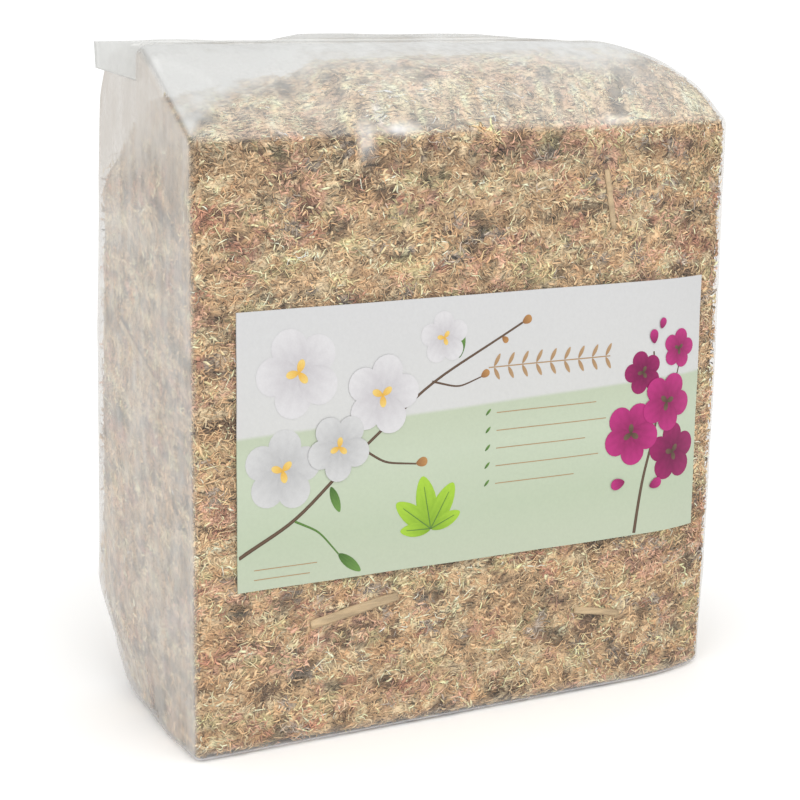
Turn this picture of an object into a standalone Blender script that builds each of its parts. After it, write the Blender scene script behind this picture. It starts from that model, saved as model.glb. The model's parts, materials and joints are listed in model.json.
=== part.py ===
# A pressed block of dried long-fibre sphagnum moss, standing in a clear bag with a label on its front.
# Metres. X runs along the front, the front faces -Y and Z is up. The origin is the middle of the base.
import math
import random

import bmesh
import bpy
from mathutils import Vector, noise
from mathutils.bvhtree import BVHTree

# The filled bag
BAG_WIDTH = 0.288
BAG_DEPTH = 0.112
SHOULDER_HEIGHT = 0.280
RIDGE_RISE = 0.038
RIDGE_END = 0.092
RIGHT_DROP = 0.45
ROOF_FULLNESS = 0.9
CORNER_ROUND = 0.008
SETBACK_START = 0.095
RIGHT_SETBACK = 0.0115
BACK_LEAN = 0.012
FOOT_LIFT = 0.024
FOOT_START = 0.46
FOOT_REACH = 0.090
FOOT_SIDE = 0.4
FILM = 0.0006
TOUCH_GAP = 0.0003

# Rows of the cage between its rounded edges, as shares of half the width, depth and height
CAGE_ROWS = ((-0.6, -0.2, 0.2, 0.6, 0.86), (-0.45, 0.0, 0.45), (-0.4, 0.4))

# The sealed strip along the ridge, with its ear past the left end
SEAL_TOP = 0.319
SEAL_DEPTH = 0.014
SEAL_THICK = 0.0012
EAR_REACH = 0.020
EAR_ROOT = 0.030
SEAL_SINK = 0.0015
SEAL_STEPS = 8

# Two small vents in the back of the bag
VENT_RADIUS = 0.003
VENT_SPACING = 0.150
VENT_HEIGHT = 0.215
VENT_SIDES = 12

# The moss inside: matted strands are ridges round the core, and loose strands stand out over them
MOSS_INSET = 0.0054
MOSS_RISE = 0.031
DENT_DEPTH = 0.012
DENT_REACH = 0.085
MAT_PITCH = 0.0082
MAT_RELIEF = 0.0016
MAT_FRONT_COLUMNS = 15
MAT_SIDE_COLUMNS = 6
MAT_WANDER = 0.0105
MAT_WANDER_LENGTH = 0.046
MAT_GAP_SHARE = 0.24
MAT_EDGE = 0.004
STRAND_COUNT = 116
STRAND_WIDTH = (0.0046, 0.0062)
STRAND_THICK = 0.0009
STRAND_TAPER = 0.45
STRAND_STEP = (0.014, 0.021)
STRAND_ROOT = 0.0032
STRAND_LAYERS = (0.0018, 0.0030)
STRAND_WANDER = 0.42
STRAND_SPREAD = 0.9
SHORT_SHARE = 0.35
LEVEL_FACE = 0.6
PLACE_TRIES = 8
SEED = 11

# Loose dry stalks: face, both ends along the face in metres from its middle and above the base, radius
STALKS = (
    ("front", (-0.086, 0.057), (-0.041, 0.0645), 0.0012),
    ("front", (0.058, 0.043), (0.084, 0.038), 0.0012),
    ("front", (0.069, 0.258), (0.074, 0.231), 0.0010),
    ("left", (0.026, 0.190), (-0.014, 0.168), 0.0011),
    ("back", (0.080, 0.120), (0.032, 0.134), 0.0012),
)
STALK_POINTS = 5
STALK_BOW = 0.0022
STALK_ROOM = 0.0024

# The label on the front
LABEL_WIDTH = 0.253
LABEL_HEIGHT = 0.127
LABEL_LEFT = -0.123
LABEL_BOTTOM = 0.0778
LABEL_THICK = 0.0006
LABEL_COLUMNS = 14
LABEL_ROWS = 6


def clear_scene():
    for thing in list(bpy.data.objects):
        bpy.data.objects.remove(thing)


def new_collection(name, hidden):
    collection = bpy.data.collections.new(name)
    bpy.context.scene.collection.children.link(collection)
    collection.hide_render = hidden
    return collection


def material(name, colour, roughness, alpha=1.0):
    made = bpy.data.materials.new(name)
    made.use_nodes = True
    shader = made.node_tree.nodes["Principled BSDF"]
    shader.inputs["Base Color"].default_value = (*colour, 1.0)
    shader.inputs["Roughness"].default_value = roughness
    shader.inputs["Metallic"].default_value = 0.0
    shader.inputs["Alpha"].default_value = alpha
    return made


def mesh_object(name, shape, collection, surface=None):
    mesh = bpy.data.meshes.new(name)
    shape.to_mesh(mesh)
    shape.free()
    made = bpy.data.objects.new(name, mesh)
    collection.objects.link(made)
    if surface:
        mesh.materials.append(surface)
    return made


def evaluated_mesh(thing):
    graph = bpy.context.evaluated_depsgraph_get()
    return bpy.data.meshes.new_from_object(thing.evaluated_get(graph))


def surface_tree(thing):
    shape = bmesh.new()
    mesh = evaluated_mesh(thing)
    shape.from_mesh(mesh)
    tree = BVHTree.FromBMesh(shape)
    shape.free()
    bpy.data.meshes.remove(mesh)
    return tree


def clamp(value):
    return min(1.0, max(0.0, value))


def setback(x):
    """How far the front curves back towards its right edge."""
    return RIGHT_SETBACK * clamp((x - SETBACK_START) / (BAG_WIDTH / 2 - SETBACK_START)) ** 2


def leaned(x, y, up):
    """Depth of a point of the plain box once the front curves back and the back leans out at its foot."""
    front = clamp(0.5 - y / BAG_DEPTH)
    return y + setback(x) * front + BACK_LEAN * (0.5 - up) * (1.0 - front)


def foot_lift(x, y, z):
    """How far the form is drawn up above its back left foot."""
    behind = clamp((y / (BAG_DEPTH / 2) - FOOT_START) / (1.0 - FOOT_START))
    beside = clamp(FOOT_SIDE - x / (BAG_WIDTH / 2))
    return FOOT_LIFT * (behind * beside) ** 2 * clamp(1.0 - z / FOOT_REACH)


def roof(x, y, rise):
    """Height of the roof over the shoulder: a plain fold at the left end, rounder to the right."""
    across = clamp(abs(y) / (BAG_DEPTH / 2))
    roundness = 1.0 + ROOF_FULLNESS * clamp((x + BAG_WIDTH / 2) / (BAG_WIDTH / 3))
    drop = RIGHT_DROP * clamp((x - RIDGE_END) / (BAG_WIDTH / 2 - RIDGE_END)) ** 2
    return rise * (1.0 - across**roundness) * (1.0 - drop)


def block(inset, rise):
    """The filled bag's form, this far inside its outer face, as a cage for a subdivision surface."""
    half = Vector((BAG_WIDTH / 2, BAG_DEPTH / 2, SHOULDER_HEIGHT / 2)) - Vector((inset, inset, inset))
    shape = bmesh.new()
    bmesh.ops.create_cube(shape, size=2.0)
    bmesh.ops.scale(shape, vec=half, verts=shape.verts)
    for axis in range(3):
        edge = half[axis] - CORNER_ROUND
        for place in (-edge, *(share * half[axis] for share in CAGE_ROWS[axis]), edge):
            normal = Vector((0.0, 0.0, 0.0))
            normal[axis] = 1.0
            parts = shape.verts[:] + shape.edges[:] + shape.faces[:]
            bmesh.ops.bisect_plane(shape, geom=parts, plane_co=normal * place, plane_no=normal)
    for vert in shape.verts:
        x, y, z = vert.co
        up = clamp(0.5 + z / (2 * half.z))
        vert.co.y = leaned(x, y, up)
        if up == 1.0:
            vert.co.z += roof(x, y, rise)
        vert.co.z += foot_lift(x, y, z + SHOULDER_HEIGHT / 2)
    bmesh.ops.translate(shape, vec=(0.0, 0.0, SHOULDER_HEIGHT / 2), verts=shape.verts)
    return shape


def smooth(thing, levels):
    rounding = thing.modifiers.new("rounding", "SUBSURF")
    rounding.levels = levels
    rounding.render_levels = levels


def bag_film(parts, cutters, surface):
    film = mesh_object("bag_film", block(0.0, RIDGE_RISE), parts, surface)
    smooth(film, 1)
    outside = surface_tree(film)
    wall = film.modifiers.new("wall", "SOLIDIFY")
    wall.thickness = FILM
    wall.offset = -1.0
    join = film.modifiers.new("seal", "BOOLEAN")
    join.operation = "UNION"
    join.solver = "MANIFOLD"
    join.object = sealed_strip(cutters, outside)
    cut = film.modifiers.new("vents", "BOOLEAN")
    cut.operation = "DIFFERENCE"
    cut.solver = "MANIFOLD"
    cut.operand_type = "COLLECTION"
    cut.collection = vents(cutters)
    return film


def height_at(tree, x, y):
    return tree.ray_cast(Vector((x, y, 1.0)), Vector((0.0, 0.0, -1.0)))[0].z


def sealed_strip(cutters, outside):
    left = -BAG_WIDTH / 2
    right = BAG_WIDTH / 2 - CORNER_ROUND
    outline = [(left + SEAL_SINK, SEAL_TOP - EAR_ROOT - SEAL_DEPTH)]
    outline.append((left - EAR_REACH, SEAL_TOP - SEAL_DEPTH))
    outline.append((left - EAR_REACH, SEAL_TOP))
    outline.append((RIDGE_END, SEAL_TOP))
    outline.append((right, height_at(outside, right, 0.0) + FILM))
    for step in range(SEAL_STEPS + 1):
        x = right + (left + 2 * SEAL_SINK - right) * step / SEAL_STEPS
        outline.append((x, height_at(outside, x, 0.0) - SEAL_SINK))
    curve = bpy.data.curves.new("sealed_strip", "CURVE")
    curve.dimensions = "2D"
    curve.fill_mode = "BOTH"
    curve.extrude = SEAL_THICK / 2
    line = curve.splines.new("POLY")
    line.points.add(len(outline) - 1)
    for point, (x, z) in zip(line.points, outline):
        point.co = (x, z, 0.0, 1.0)
    line.use_cyclic_u = True
    drawn = bpy.data.objects.new("sealed_strip_outline", curve)
    drawn.rotation_euler.x = math.radians(90)
    cutters.objects.link(drawn)
    strip = as_mesh(drawn, "sealed_strip", cutters)
    hide(strip)
    return strip


def as_mesh(drawn, name, collection):
    """A curve's closed mesh, in the curve's place."""
    bpy.context.view_layer.update()
    shape = bmesh.new()
    mesh = evaluated_mesh(drawn)
    shape.from_mesh(mesh)
    bpy.data.meshes.remove(mesh)
    bmesh.ops.remove_doubles(shape, verts=shape.verts, dist=1e-6)
    bmesh.ops.recalc_face_normals(shape, faces=shape.faces)
    made = mesh_object(name, shape, collection)
    made.matrix_world = drawn.matrix_world
    bpy.data.objects.remove(drawn)
    return made


def hide(thing):
    thing.hide_render = True
    thing.display_type = "WIRE"


def vents(cutters):
    holes = bpy.data.collections.new("vent_holes")
    cutters.children.link(holes)
    for side in (-1, 1):
        bpy.ops.mesh.primitive_cylinder_add(
            vertices=VENT_SIDES,
            radius=VENT_RADIUS,
            depth=BAG_DEPTH / 5,
            location=(side * VENT_SPACING / 2, BAG_DEPTH / 2, VENT_HEIGHT),
            rotation=(math.radians(90), 0.0, 0.0),
        )
        hole = bpy.context.object
        hole.name = f"vent_{'left' if side < 0 else 'right'}"
        for held in list(hole.users_collection):
            held.objects.unlink(hole)
        holes.objects.link(hole)
        hide(hole)
    return holes


def moss_guide(collection):
    """The smooth form that the matted strands are raised from, slumped at its front left corner."""
    shape = block(MOSS_INSET, MOSS_RISE)
    shoulder = SHOULDER_HEIGHT - MOSS_INSET - 1e-6
    hollow = Vector((-BAG_WIDTH / 2, -BAG_DEPTH / 4))
    for vert in shape.verts:
        if vert.co.z > shoulder:
            near = clamp(1.0 - (vert.co.xy - hollow).length / DENT_REACH)
            vert.co.z -= DENT_DEPTH * near
    guide = mesh_object("moss_guide", shape, collection)
    smooth(guide, 2)
    rounded = evaluated_mesh(guide)
    guide.modifiers.clear()
    guide.data = rounded
    return guide


def outline_places(inset):
    """Points round the block's plan, this far inside its edge, with the same number on every call."""
    wide = BAG_WIDTH / 2 - MOSS_INSET - inset
    deep = BAG_DEPTH / 2 - MOSS_INSET - inset
    corners = [Vector((-wide, -deep)), Vector((wide, -deep)), Vector((wide, deep)), Vector((-wide, deep))]
    counts = (MAT_FRONT_COLUMNS, MAT_SIDE_COLUMNS, MAT_FRONT_COLUMNS, MAT_SIDE_COLUMNS)
    places = []
    for side, count in enumerate(counts):
        start, end = corners[side], corners[(side + 1) % 4]
        places.extend(start.lerp(end, step / count) for step in range(count))
    return places


def wander(row, place):
    return MAT_WANDER * noise.noise(Vector((place.x, place.y, row * MAT_PITCH / 2)) / MAT_WANDER_LENGTH)


def side_ring(tree, row, height):
    """Places and ways out of the core along one row round its four sides."""
    ring = []
    spine = (BAG_WIDTH - BAG_DEPTH) / 2
    low = MOSS_INSET + MAT_EDGE
    high = SHOULDER_HEIGHT - MOSS_INSET - MAT_EDGE
    for place in outline_places(0.0):
        room = clamp(min(height - low, high - height) / (2 * MAT_WANDER))
        level = height + room * wander(row, place) + foot_lift(place.x, place.y, height)
        inside = Vector((min(spine, max(-spine, place.x)), 0.0, level))
        outward = (Vector((place.x, place.y, level)) - inside).normalized()
        hit, normal, _, _ = tree.ray_cast(inside, outward)
        ring.append((hit, normal))
    return ring


def cap_ring(tree, row, inset, above):
    """Places and ways out of the core along one row on its roof or under its base."""
    ring = []
    room = clamp((inset - MAT_EDGE) / (2 * MAT_WANDER))
    room = min(room, clamp((BAG_DEPTH / 2 - MOSS_INSET - MAT_EDGE - inset) / (2 * MAT_WANDER)))
    middle = Vector((0.0, 0.0, SHOULDER_HEIGHT / 2))
    upward = Vector((0.0, 0.0, 1.0 if above else -1.0))
    for place, edge in zip(outline_places(inset), outline_places(0.0)):
        inward = (place - edge).normalized() if inset else Vector((0.0, 0.0))
        spot = place + inward * room * wander(row, edge)
        depth = leaned(spot.x, spot.y, 1.0 if above else 0.0)
        hit, normal, _, _ = tree.ray_cast(middle + Vector((spot.x, depth, 0.0)), upward)
        ring.append((hit, normal))
    return ring


def mat_rings(tree):
    """Rows from the middle of the base, up the sides and in over the roof, half a pitch apart."""
    spacing = MAT_PITCH / 2
    caps = int((BAG_DEPTH / 2 - MOSS_INSET - 2 * MAT_EDGE) / spacing)
    low = MOSS_INSET + MAT_EDGE
    tall = SHOULDER_HEIGHT - 2 * (MOSS_INSET + MAT_EDGE)
    sides = round(tall / spacing)
    rings = []
    for step in range(caps, -1, -1):
        rings.append(cap_ring(tree, len(rings), MAT_EDGE + step * spacing, False))
    for step in range(sides + 1):
        rings.append(side_ring(tree, len(rings), low + tall * step / sides))
    for step in range(caps + 1):
        rings.append(cap_ring(tree, len(rings), MAT_EDGE + step * spacing, True))
    return rings


def moss_core(tree, parts, surface, draw):
    """The matted block: every other row stands out as a strand and the rows between are its hollows."""
    shape = bmesh.new()
    rows = []
    for number, ring in enumerate(mat_rings(tree)):
        row = []
        for hit, normal in ring:
            relief = -MAT_RELIEF
            if number % 2 and draw.random() > MAT_GAP_SHARE:
                relief = MAT_RELIEF * draw.uniform(0.1, 1.0)
            row.append(shape.verts.new(hit + normal * relief))
        rows.append(row)
    columns = len(rows[0])
    for low, high in zip(rows, rows[1:]):
        for column in range(columns):
            after = (column + 1) % columns
            shape.faces.new((low[column], low[after], high[after], high[column]))
    close_cap(shape, rows[0])
    close_cap(shape, rows[-1])
    bmesh.ops.recalc_face_normals(shape, faces=shape.faces)
    return mesh_object("moss_block", shape, parts, surface)


def close_cap(shape, row):
    """Closes the long slot that the last row leaves, front to back, with one face at each end."""
    front = row[: MAT_FRONT_COLUMNS + 1]
    turn = MAT_FRONT_COLUMNS + MAT_SIDE_COLUMNS
    back = row[turn : turn + MAT_FRONT_COLUMNS + 1]
    for step in range(MAT_FRONT_COLUMNS):
        far = MAT_FRONT_COLUMNS - step
        shape.faces.new((front[step], front[step + 1], back[far - 1], back[far]))
    shape.faces.new(row[MAT_FRONT_COLUMNS : turn + 1])
    shape.faces.new([*row[turn + MAT_FRONT_COLUMNS :], row[0]])


def even_places(core, count, draw):
    """Points over the whole surface, each the furthest of a few draws from those already taken."""
    triangles = []
    reach = 0.0
    core.data.calc_loop_triangles()
    for triangle in core.data.loop_triangles:
        reach += triangle.area
        triangles.append((reach, [core.data.vertices[i].co for i in triangle.vertices]))
    taken = []
    for _ in range(count):
        best = None
        for _ in range(PLACE_TRIES):
            aim = draw.random() * reach
            a, b, c = next(corners for total, corners in triangles if total >= aim)
            u, v = sorted((draw.random(), draw.random()))
            point = a * u + b * (v - u) + c * (1.0 - v)
            room = min(((point - other).length_squared for other in taken), default=1.0)
            if best is None or room > best[0]:
                best = (room, point)
        taken.append(best[1])
    return taken


def strand_path(tree, start, draw):
    """A winding line over the core, with the way out of the core at each of its points.

    The root is below the surface and the rest is in one of the layers above it, so that strands
    mostly pass over and under each other.
    """
    place, away, _, _ = tree.find_nearest(start)
    sideways = Vector((0.0, 0.0, 1.0)).cross(away)
    if sideways.length < LEVEL_FACE:
        sideways = Vector((1.0, 0.0, 0.0))
    along = sideways.normalized() * draw.choice((-1, 1))
    turn = draw.gauss(0.0, STRAND_SPREAD)
    lift = draw.choice(STRAND_LAYERS)
    path = [(place - away * STRAND_ROOT, away)]
    for _ in range(2 if draw.random() < SHORT_SHARE else 3):
        across = away.cross(along).normalized()
        heading = along * math.cos(turn) + across * math.sin(turn)
        step = draw.uniform(*STRAND_STEP)
        place, away, _, _ = tree.find_nearest(place + heading * step)
        along = (along - away * along.dot(away)).normalized()
        path.append((place + away * lift, away))
        turn += draw.gauss(0.0, STRAND_WANDER)
    return path


def inside_film(path, film, margin):
    """The same line, drawn in wherever it comes too near the bag."""
    kept = []
    for point, away in path:
        wall, normal, _, _ = film.find_nearest(point)
        depth = (wall - point).dot(normal)
        kept.append((point - normal * max(0.0, margin - depth), away))
    return kept


def clear_of(path, lines, room):
    places = [place for place, _ in path]
    for first, second in zip(places, places[1:]):
        for share in (0.0, 0.2, 0.4, 0.6, 0.8, 1.0):
            point = first.lerp(second, share)
            if any((point - other).length < room for line in lines for other in line):
                return False
    return True


def strand(number, path, width, collection):
    """A flat three-sided strand with its ridge outwards, tapering to a point."""
    shape = bmesh.new()
    last = len(path) - 1
    rings = []
    for index, (place, away) in enumerate(path[:-1]):
        ahead = path[index + 1][0] - path[max(index - 1, 0)][0]
        across = ahead.cross(away).normalized() * (width / 2) * (1.0 - STRAND_TAPER * index / last)
        corners = (place - across, place + across, place + away * STRAND_THICK)
        rings.append([shape.verts.new(corner) for corner in corners])
    tip = shape.verts.new(path[-1][0] + path[-1][1] * STRAND_THICK / 2)
    shape.faces.new(rings[0])
    for near, far in zip(rings, rings[1:]):
        for side in range(3):
            other = (side + 1) % 3
            shape.faces.new((near[side], near[other], far[other]))
            shape.faces.new((near[side], far[other], far[side]))
    for side in range(3):
        shape.faces.new((rings[-1][side], rings[-1][(side + 1) % 3], tip))
    bmesh.ops.recalc_face_normals(shape, faces=shape.faces)
    return mesh_object(f"strand_{number}", shape, collection)


def moss_block(tree, parts, cutters, film, stalk_lines, surface):
    """The whole block of moss: strands of moss fused to the core that they stand out of."""
    draw = random.Random(SEED)
    core = moss_core(tree, parts, surface, draw)
    strands = bpy.data.collections.new("strands")
    cutters.children.link(strands)
    margin = FILM + STRAND_THICK + 1.5 * TOUCH_GAP
    for number, start in enumerate(even_places(core, STRAND_COUNT, draw)):
        path = inside_film(strand_path(tree, start, draw), film, margin)
        width = draw.uniform(*STRAND_WIDTH)
        if clear_of(path, stalk_lines, width / 2 + STALK_ROOM):
            strand(number, path, width, strands)
    join = core.modifiers.new("strands", "BOOLEAN")
    join.operation = "UNION"
    join.operand_type = "COLLECTION"
    join.solver = "MANIFOLD"
    join.collection = strands
    fused = evaluated_mesh(core)
    core.modifiers.clear()
    core.data = fused
    for used in list(strands.objects):
        bpy.data.objects.remove(used)
    keep_largest(core)
    return core


def keep_largest(thing):
    """Drops any scrap that the union left loose."""
    shape = bmesh.new()
    shape.from_mesh(thing.data)
    unseen = set(shape.verts)
    bodies = []
    while unseen:
        body = {unseen.pop()}
        edge = list(body)
        while edge:
            vert = edge.pop()
            for link in vert.link_edges:
                other = link.other_vert(vert)
                if other in unseen:
                    unseen.remove(other)
                    body.add(other)
                    edge.append(other)
        bodies.append(body)
    bodies.sort(key=len)
    for body in bodies[:-1]:
        bmesh.ops.delete(shape, geom=list(body), context="VERTS")
    shape.to_mesh(thing.data)
    shape.free()


def stalk_line(tree, face, start, end, radius):
    """Points of a slightly bowed stalk that lies on the core, on the named face of the block."""
    outward = {"front": (0.0, -1.0, 0.0), "back": (0.0, 1.0, 0.0), "left": (-1.0, 0.0, 0.0)}
    away = Vector(outward[face])
    along = Vector((0.0, 1.0, 0.0)) if face == "left" else Vector((1.0, 0.0, 0.0))
    line = []
    for step in range(STALK_POINTS):
        share = step / (STALK_POINTS - 1)
        side = start[0] + (end[0] - start[0]) * share
        height = start[1] + (end[1] - start[1]) * share + STALK_BOW * math.sin(math.pi * share)
        seen_from = along * side + Vector((0.0, 0.0, height)) + away
        place = tree.ray_cast(seen_from, -away)[0]
        line.append(place + away * (MAT_RELIEF + radius + TOUCH_GAP))
    return line


def straw_stalk(number, line, radius, parts, surface):
    curve = bpy.data.curves.new(f"straw_stalk_{number}", "CURVE")
    curve.dimensions = "3D"
    curve.bevel_depth = radius
    curve.bevel_resolution = 2
    curve.use_fill_caps = True
    spline = curve.splines.new("POLY")
    spline.points.add(len(line) - 1)
    for point, place in zip(spline.points, line):
        point.co = (*place, 1.0)
    spline.use_smooth = True
    curve.materials.append(surface)
    stalk = bpy.data.objects.new(f"straw_stalk_{number}", curve)
    parts.objects.link(stalk)
    return stalk


def bag_label(parts, surface):
    shape = bmesh.new()
    bmesh.ops.create_grid(shape, x_segments=LABEL_COLUMNS, y_segments=LABEL_ROWS, size=0.5)
    for vert in shape.verts:
        x = LABEL_LEFT + LABEL_WIDTH * (vert.co.x + 0.5)
        z = LABEL_BOTTOM + LABEL_HEIGHT * (vert.co.y + 0.5)
        vert.co = (x, setback(x) - BAG_DEPTH / 2 - TOUCH_GAP, z)
    bmesh.ops.recalc_face_normals(shape, faces=shape.faces)
    for face in shape.faces:
        if face.normal.y > 0.0:
            face.normal_flip()
    label = mesh_object("bag_label", shape, parts, surface)
    sheet = label.modifiers.new("sheet", "SOLIDIFY")
    sheet.thickness = LABEL_THICK
    sheet.offset = 1.0
    return label


def build():
    clear_scene()
    parts = new_collection("moss_in_bag", False)
    cutters = new_collection("cutters", True)
    moss = material("moss", (0.52, 0.42, 0.26), 0.95)
    straw = material("straw", (0.72, 0.58, 0.34), 0.7)
    clear_film = material("clear_film", (0.86, 0.88, 0.86), 0.18, 0.25)
    label_paper = material("label_paper", (0.80, 0.86, 0.80), 0.45)

    guide = mesh_object("film_guide", block(0.0, RIDGE_RISE), cutters)
    smooth(guide, 1)
    film_tree = surface_tree(guide)
    bpy.data.objects.remove(guide)
    guide = moss_guide(cutters)
    core_tree = surface_tree(guide)
    bpy.data.objects.remove(guide)

    lines = []
    for number, (face, start, end, radius) in enumerate(STALKS, 1):
        line = stalk_line(core_tree, face, start, end, radius)
        straw_stalk(number, line, radius, parts, straw)
        lines.append([a.lerp(b, share / 4) for a, b in zip(line, line[1:]) for share in range(5)])
    moss_block(core_tree, parts, cutters, film_tree, lines, moss)
    bag_film(parts, cutters, clear_film)
    bag_label(parts, label_paper)


build()
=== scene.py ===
import json
import math

import bpy
import numpy as np
from mathutils import Matrix, Vector

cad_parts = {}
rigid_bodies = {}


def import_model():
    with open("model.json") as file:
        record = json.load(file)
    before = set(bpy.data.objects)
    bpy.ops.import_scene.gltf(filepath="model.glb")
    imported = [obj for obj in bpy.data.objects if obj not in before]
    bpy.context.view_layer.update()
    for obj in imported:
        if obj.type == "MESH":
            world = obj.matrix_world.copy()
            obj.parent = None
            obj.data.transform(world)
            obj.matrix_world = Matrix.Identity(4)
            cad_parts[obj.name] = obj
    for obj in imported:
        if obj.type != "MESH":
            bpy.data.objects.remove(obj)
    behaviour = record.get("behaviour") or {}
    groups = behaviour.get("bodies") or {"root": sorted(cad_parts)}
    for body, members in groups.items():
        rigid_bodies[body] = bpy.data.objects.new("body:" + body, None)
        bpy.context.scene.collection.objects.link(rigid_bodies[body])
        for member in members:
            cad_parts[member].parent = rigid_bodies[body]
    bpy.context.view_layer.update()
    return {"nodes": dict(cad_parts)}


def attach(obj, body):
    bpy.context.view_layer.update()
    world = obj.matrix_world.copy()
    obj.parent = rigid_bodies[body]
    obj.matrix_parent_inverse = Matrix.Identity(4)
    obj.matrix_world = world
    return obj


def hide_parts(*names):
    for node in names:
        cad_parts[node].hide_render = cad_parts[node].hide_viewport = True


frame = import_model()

# camera, light and floor

cameraPlace = {
    "spot": (-0.4717, -0.8460, 0.3542),
    "lens": 90.72,
    "turn": -28.57,
    "tilt": 77.73,
    "roll": 0.65,
}

stageLook = {
    "floorSize": 40.0,
    "floorColour": (0.94, 0.94, 0.93),
    "skyStrength": 0.80,
    "sunStrength": 1.45,
    "sunSoftness": 55.0,
    "sunFrom": (-0.35, -0.75, 1.5),
    "keyPower": 4.2,
    "keySpot": (-0.3, -1.5, 0.9),
    "keySize": 0.8,
    "keyAim": (0.0, 0.0, 0.15),
}


def setCamera():
    data = bpy.data.cameras.new("photoCamera")
    data.lens = cameraPlace["lens"]
    data.sensor_width = 36.0
    data.clip_end = 60.0
    camera = bpy.data.objects.new("photoCamera", data)
    bpy.context.scene.collection.objects.link(camera)
    turn = Matrix.Rotation(math.radians(cameraPlace["turn"]), 4, "Z")
    tilt = Matrix.Rotation(math.radians(cameraPlace["tilt"]), 4, "X")
    roll = Matrix.Rotation(math.radians(cameraPlace["roll"]), 4, "Z")
    camera.matrix_world = Matrix.Translation(cameraPlace["spot"]) @ turn @ tilt @ roll
    bpy.context.scene.camera = camera


def deselectAll():
    if bpy.context.object and bpy.context.object.mode != "OBJECT":
        bpy.ops.object.mode_set(mode="OBJECT")
    for thing in bpy.context.view_layer.objects:
        thing.select_set(False)


def newShader(name, colour, roughness):
    made = bpy.data.materials.new(name)
    made.use_nodes = True
    shader = made.node_tree.nodes["Principled BSDF"]
    shader.inputs["Base Color"].default_value = (*colour, 1.0)
    shader.inputs["Roughness"].default_value = roughness
    return made, made.node_tree, shader


def areaLight(name, spot, power, size):
    data = bpy.data.lights.new(name, "AREA")
    data.energy = power
    data.size = size
    lamp = bpy.data.objects.new(name, data)
    lamp.location = spot
    aim = Vector(stageLook["keyAim"]) - Vector(spot)
    lamp.rotation_euler = aim.to_track_quat("-Z", "Y").to_euler()
    bpy.context.scene.collection.objects.link(lamp)


def setStage():
    deselectAll()
    bpy.ops.mesh.primitive_plane_add(size=stageLook["floorSize"], location=(0.0, 0.0, -0.0006))
    floor = bpy.context.object
    floor.name = "paleFloor"
    made, _, _ = newShader("paleFloor", stageLook["floorColour"], 0.9)
    floor.data.materials.append(made)
    world = bpy.data.worlds.new("studio")
    world.use_nodes = True
    sky = world.node_tree.nodes["Background"]
    sky.inputs["Color"].default_value = (1.0, 1.0, 1.0, 1.0)
    sky.inputs["Strength"].default_value = stageLook["skyStrength"]
    bpy.context.scene.world = world
    areaLight("keyLight", stageLook["keySpot"], stageLook["keyPower"], stageLook["keySize"])
    sun = bpy.data.lights.new("softSun", "SUN")
    sun.energy = stageLook["sunStrength"]
    sun.angle = math.radians(stageLook["sunSoftness"])
    lamp = bpy.data.objects.new("softSun", sun)
    lamp.rotation_euler = (-Vector(stageLook["sunFrom"])).to_track_quat("-Z", "Y").to_euler()
    bpy.context.scene.collection.objects.link(lamp)
    bpy.context.scene.view_settings.view_transform = "Standard"


setCamera()
setStage()
print("camera, light and floor set")

# the filled bag's form, in metres

bagForm = {
    "half": (0.144, 0.056),
    "shoulder": 0.280,
    "rise": 0.0365,
    "riseStart": 0.205,
    "ridgeEnd": 0.088,
    "rightFullness": 1.9,
    "rightDrop": 0.45,
    "backFullness": 7.0,
    "round": 0.0050,
    "setbackStart": 0.095,
    "setback": 0.0115,
    "backLean": 0.012,
    "footLift": 0.024,
    "footStart": 0.46,
    "footReach": 0.090,
    "footTuck": 0.0060,
    "tuckReach": 0.050,
    "leftStart": -0.085,
    "rightStart": 0.070,
    "heights": (0.0, 0.020, 0.035, 0.050, 0.100, 0.150, 0.200, 0.250, 0.300),
    "leftSwell": (0.0, 0.0010, 0.0022, 0.0034, 0.0036, 0.0036, 0.0030, 0.0022, 0.0010),
    "rightSwell": (0.0, 0.0005, 0.0014, 0.0022, 0.0034, 0.0042, 0.0038, 0.0036, 0.0038),
}
halfWide, halfDeep = bagForm["half"]


def share(value):
    return np.clip(value, 0.0, 1.0)


def easedShare(value):
    value = share(value)
    return value * value * (3.0 - 2.0 * value)


def frontSetback(x):
    start = bagForm["setbackStart"]
    return bagForm["setback"] * share((x - start) / (halfWide - start)) ** 2


def roofRise(x, y):
    across = share(np.abs(y) / halfDeep)
    rightward = share((x + halfWide) / (2 * halfWide / 3))
    fullness = np.where(y > 0.0, bagForm["backFullness"], 1.0)
    roundness = fullness * (1 - rightward) + bagForm["rightFullness"] * rightward
    end = bagForm["ridgeEnd"]
    drop = bagForm["rightDrop"] * share((x - end) / (halfWide - end)) ** 2
    return bagForm["rise"] * (1.0 - across**roundness) * (1.0 - drop)


# The filled sides swell a little, the left one only toward the back, where its foot is tucked in.
def swollen(x, y, z):
    form = bagForm
    toRight = easedShare((x - form["rightStart"]) / 0.070)
    toLeft = easedShare((form["leftStart"] - x) / 0.059)
    rear = easedShare((y + 0.050) / 0.080)
    right = np.interp(z, form["heights"], form["rightSwell"]) * toRight
    left = np.interp(z, form["heights"], form["leftSwell"]) * toLeft * rear
    tuck = form["footTuck"] * toLeft * rear**2 * easedShare(1.0 - z / form["tuckReach"])
    return x + right - left + tuck


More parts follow.
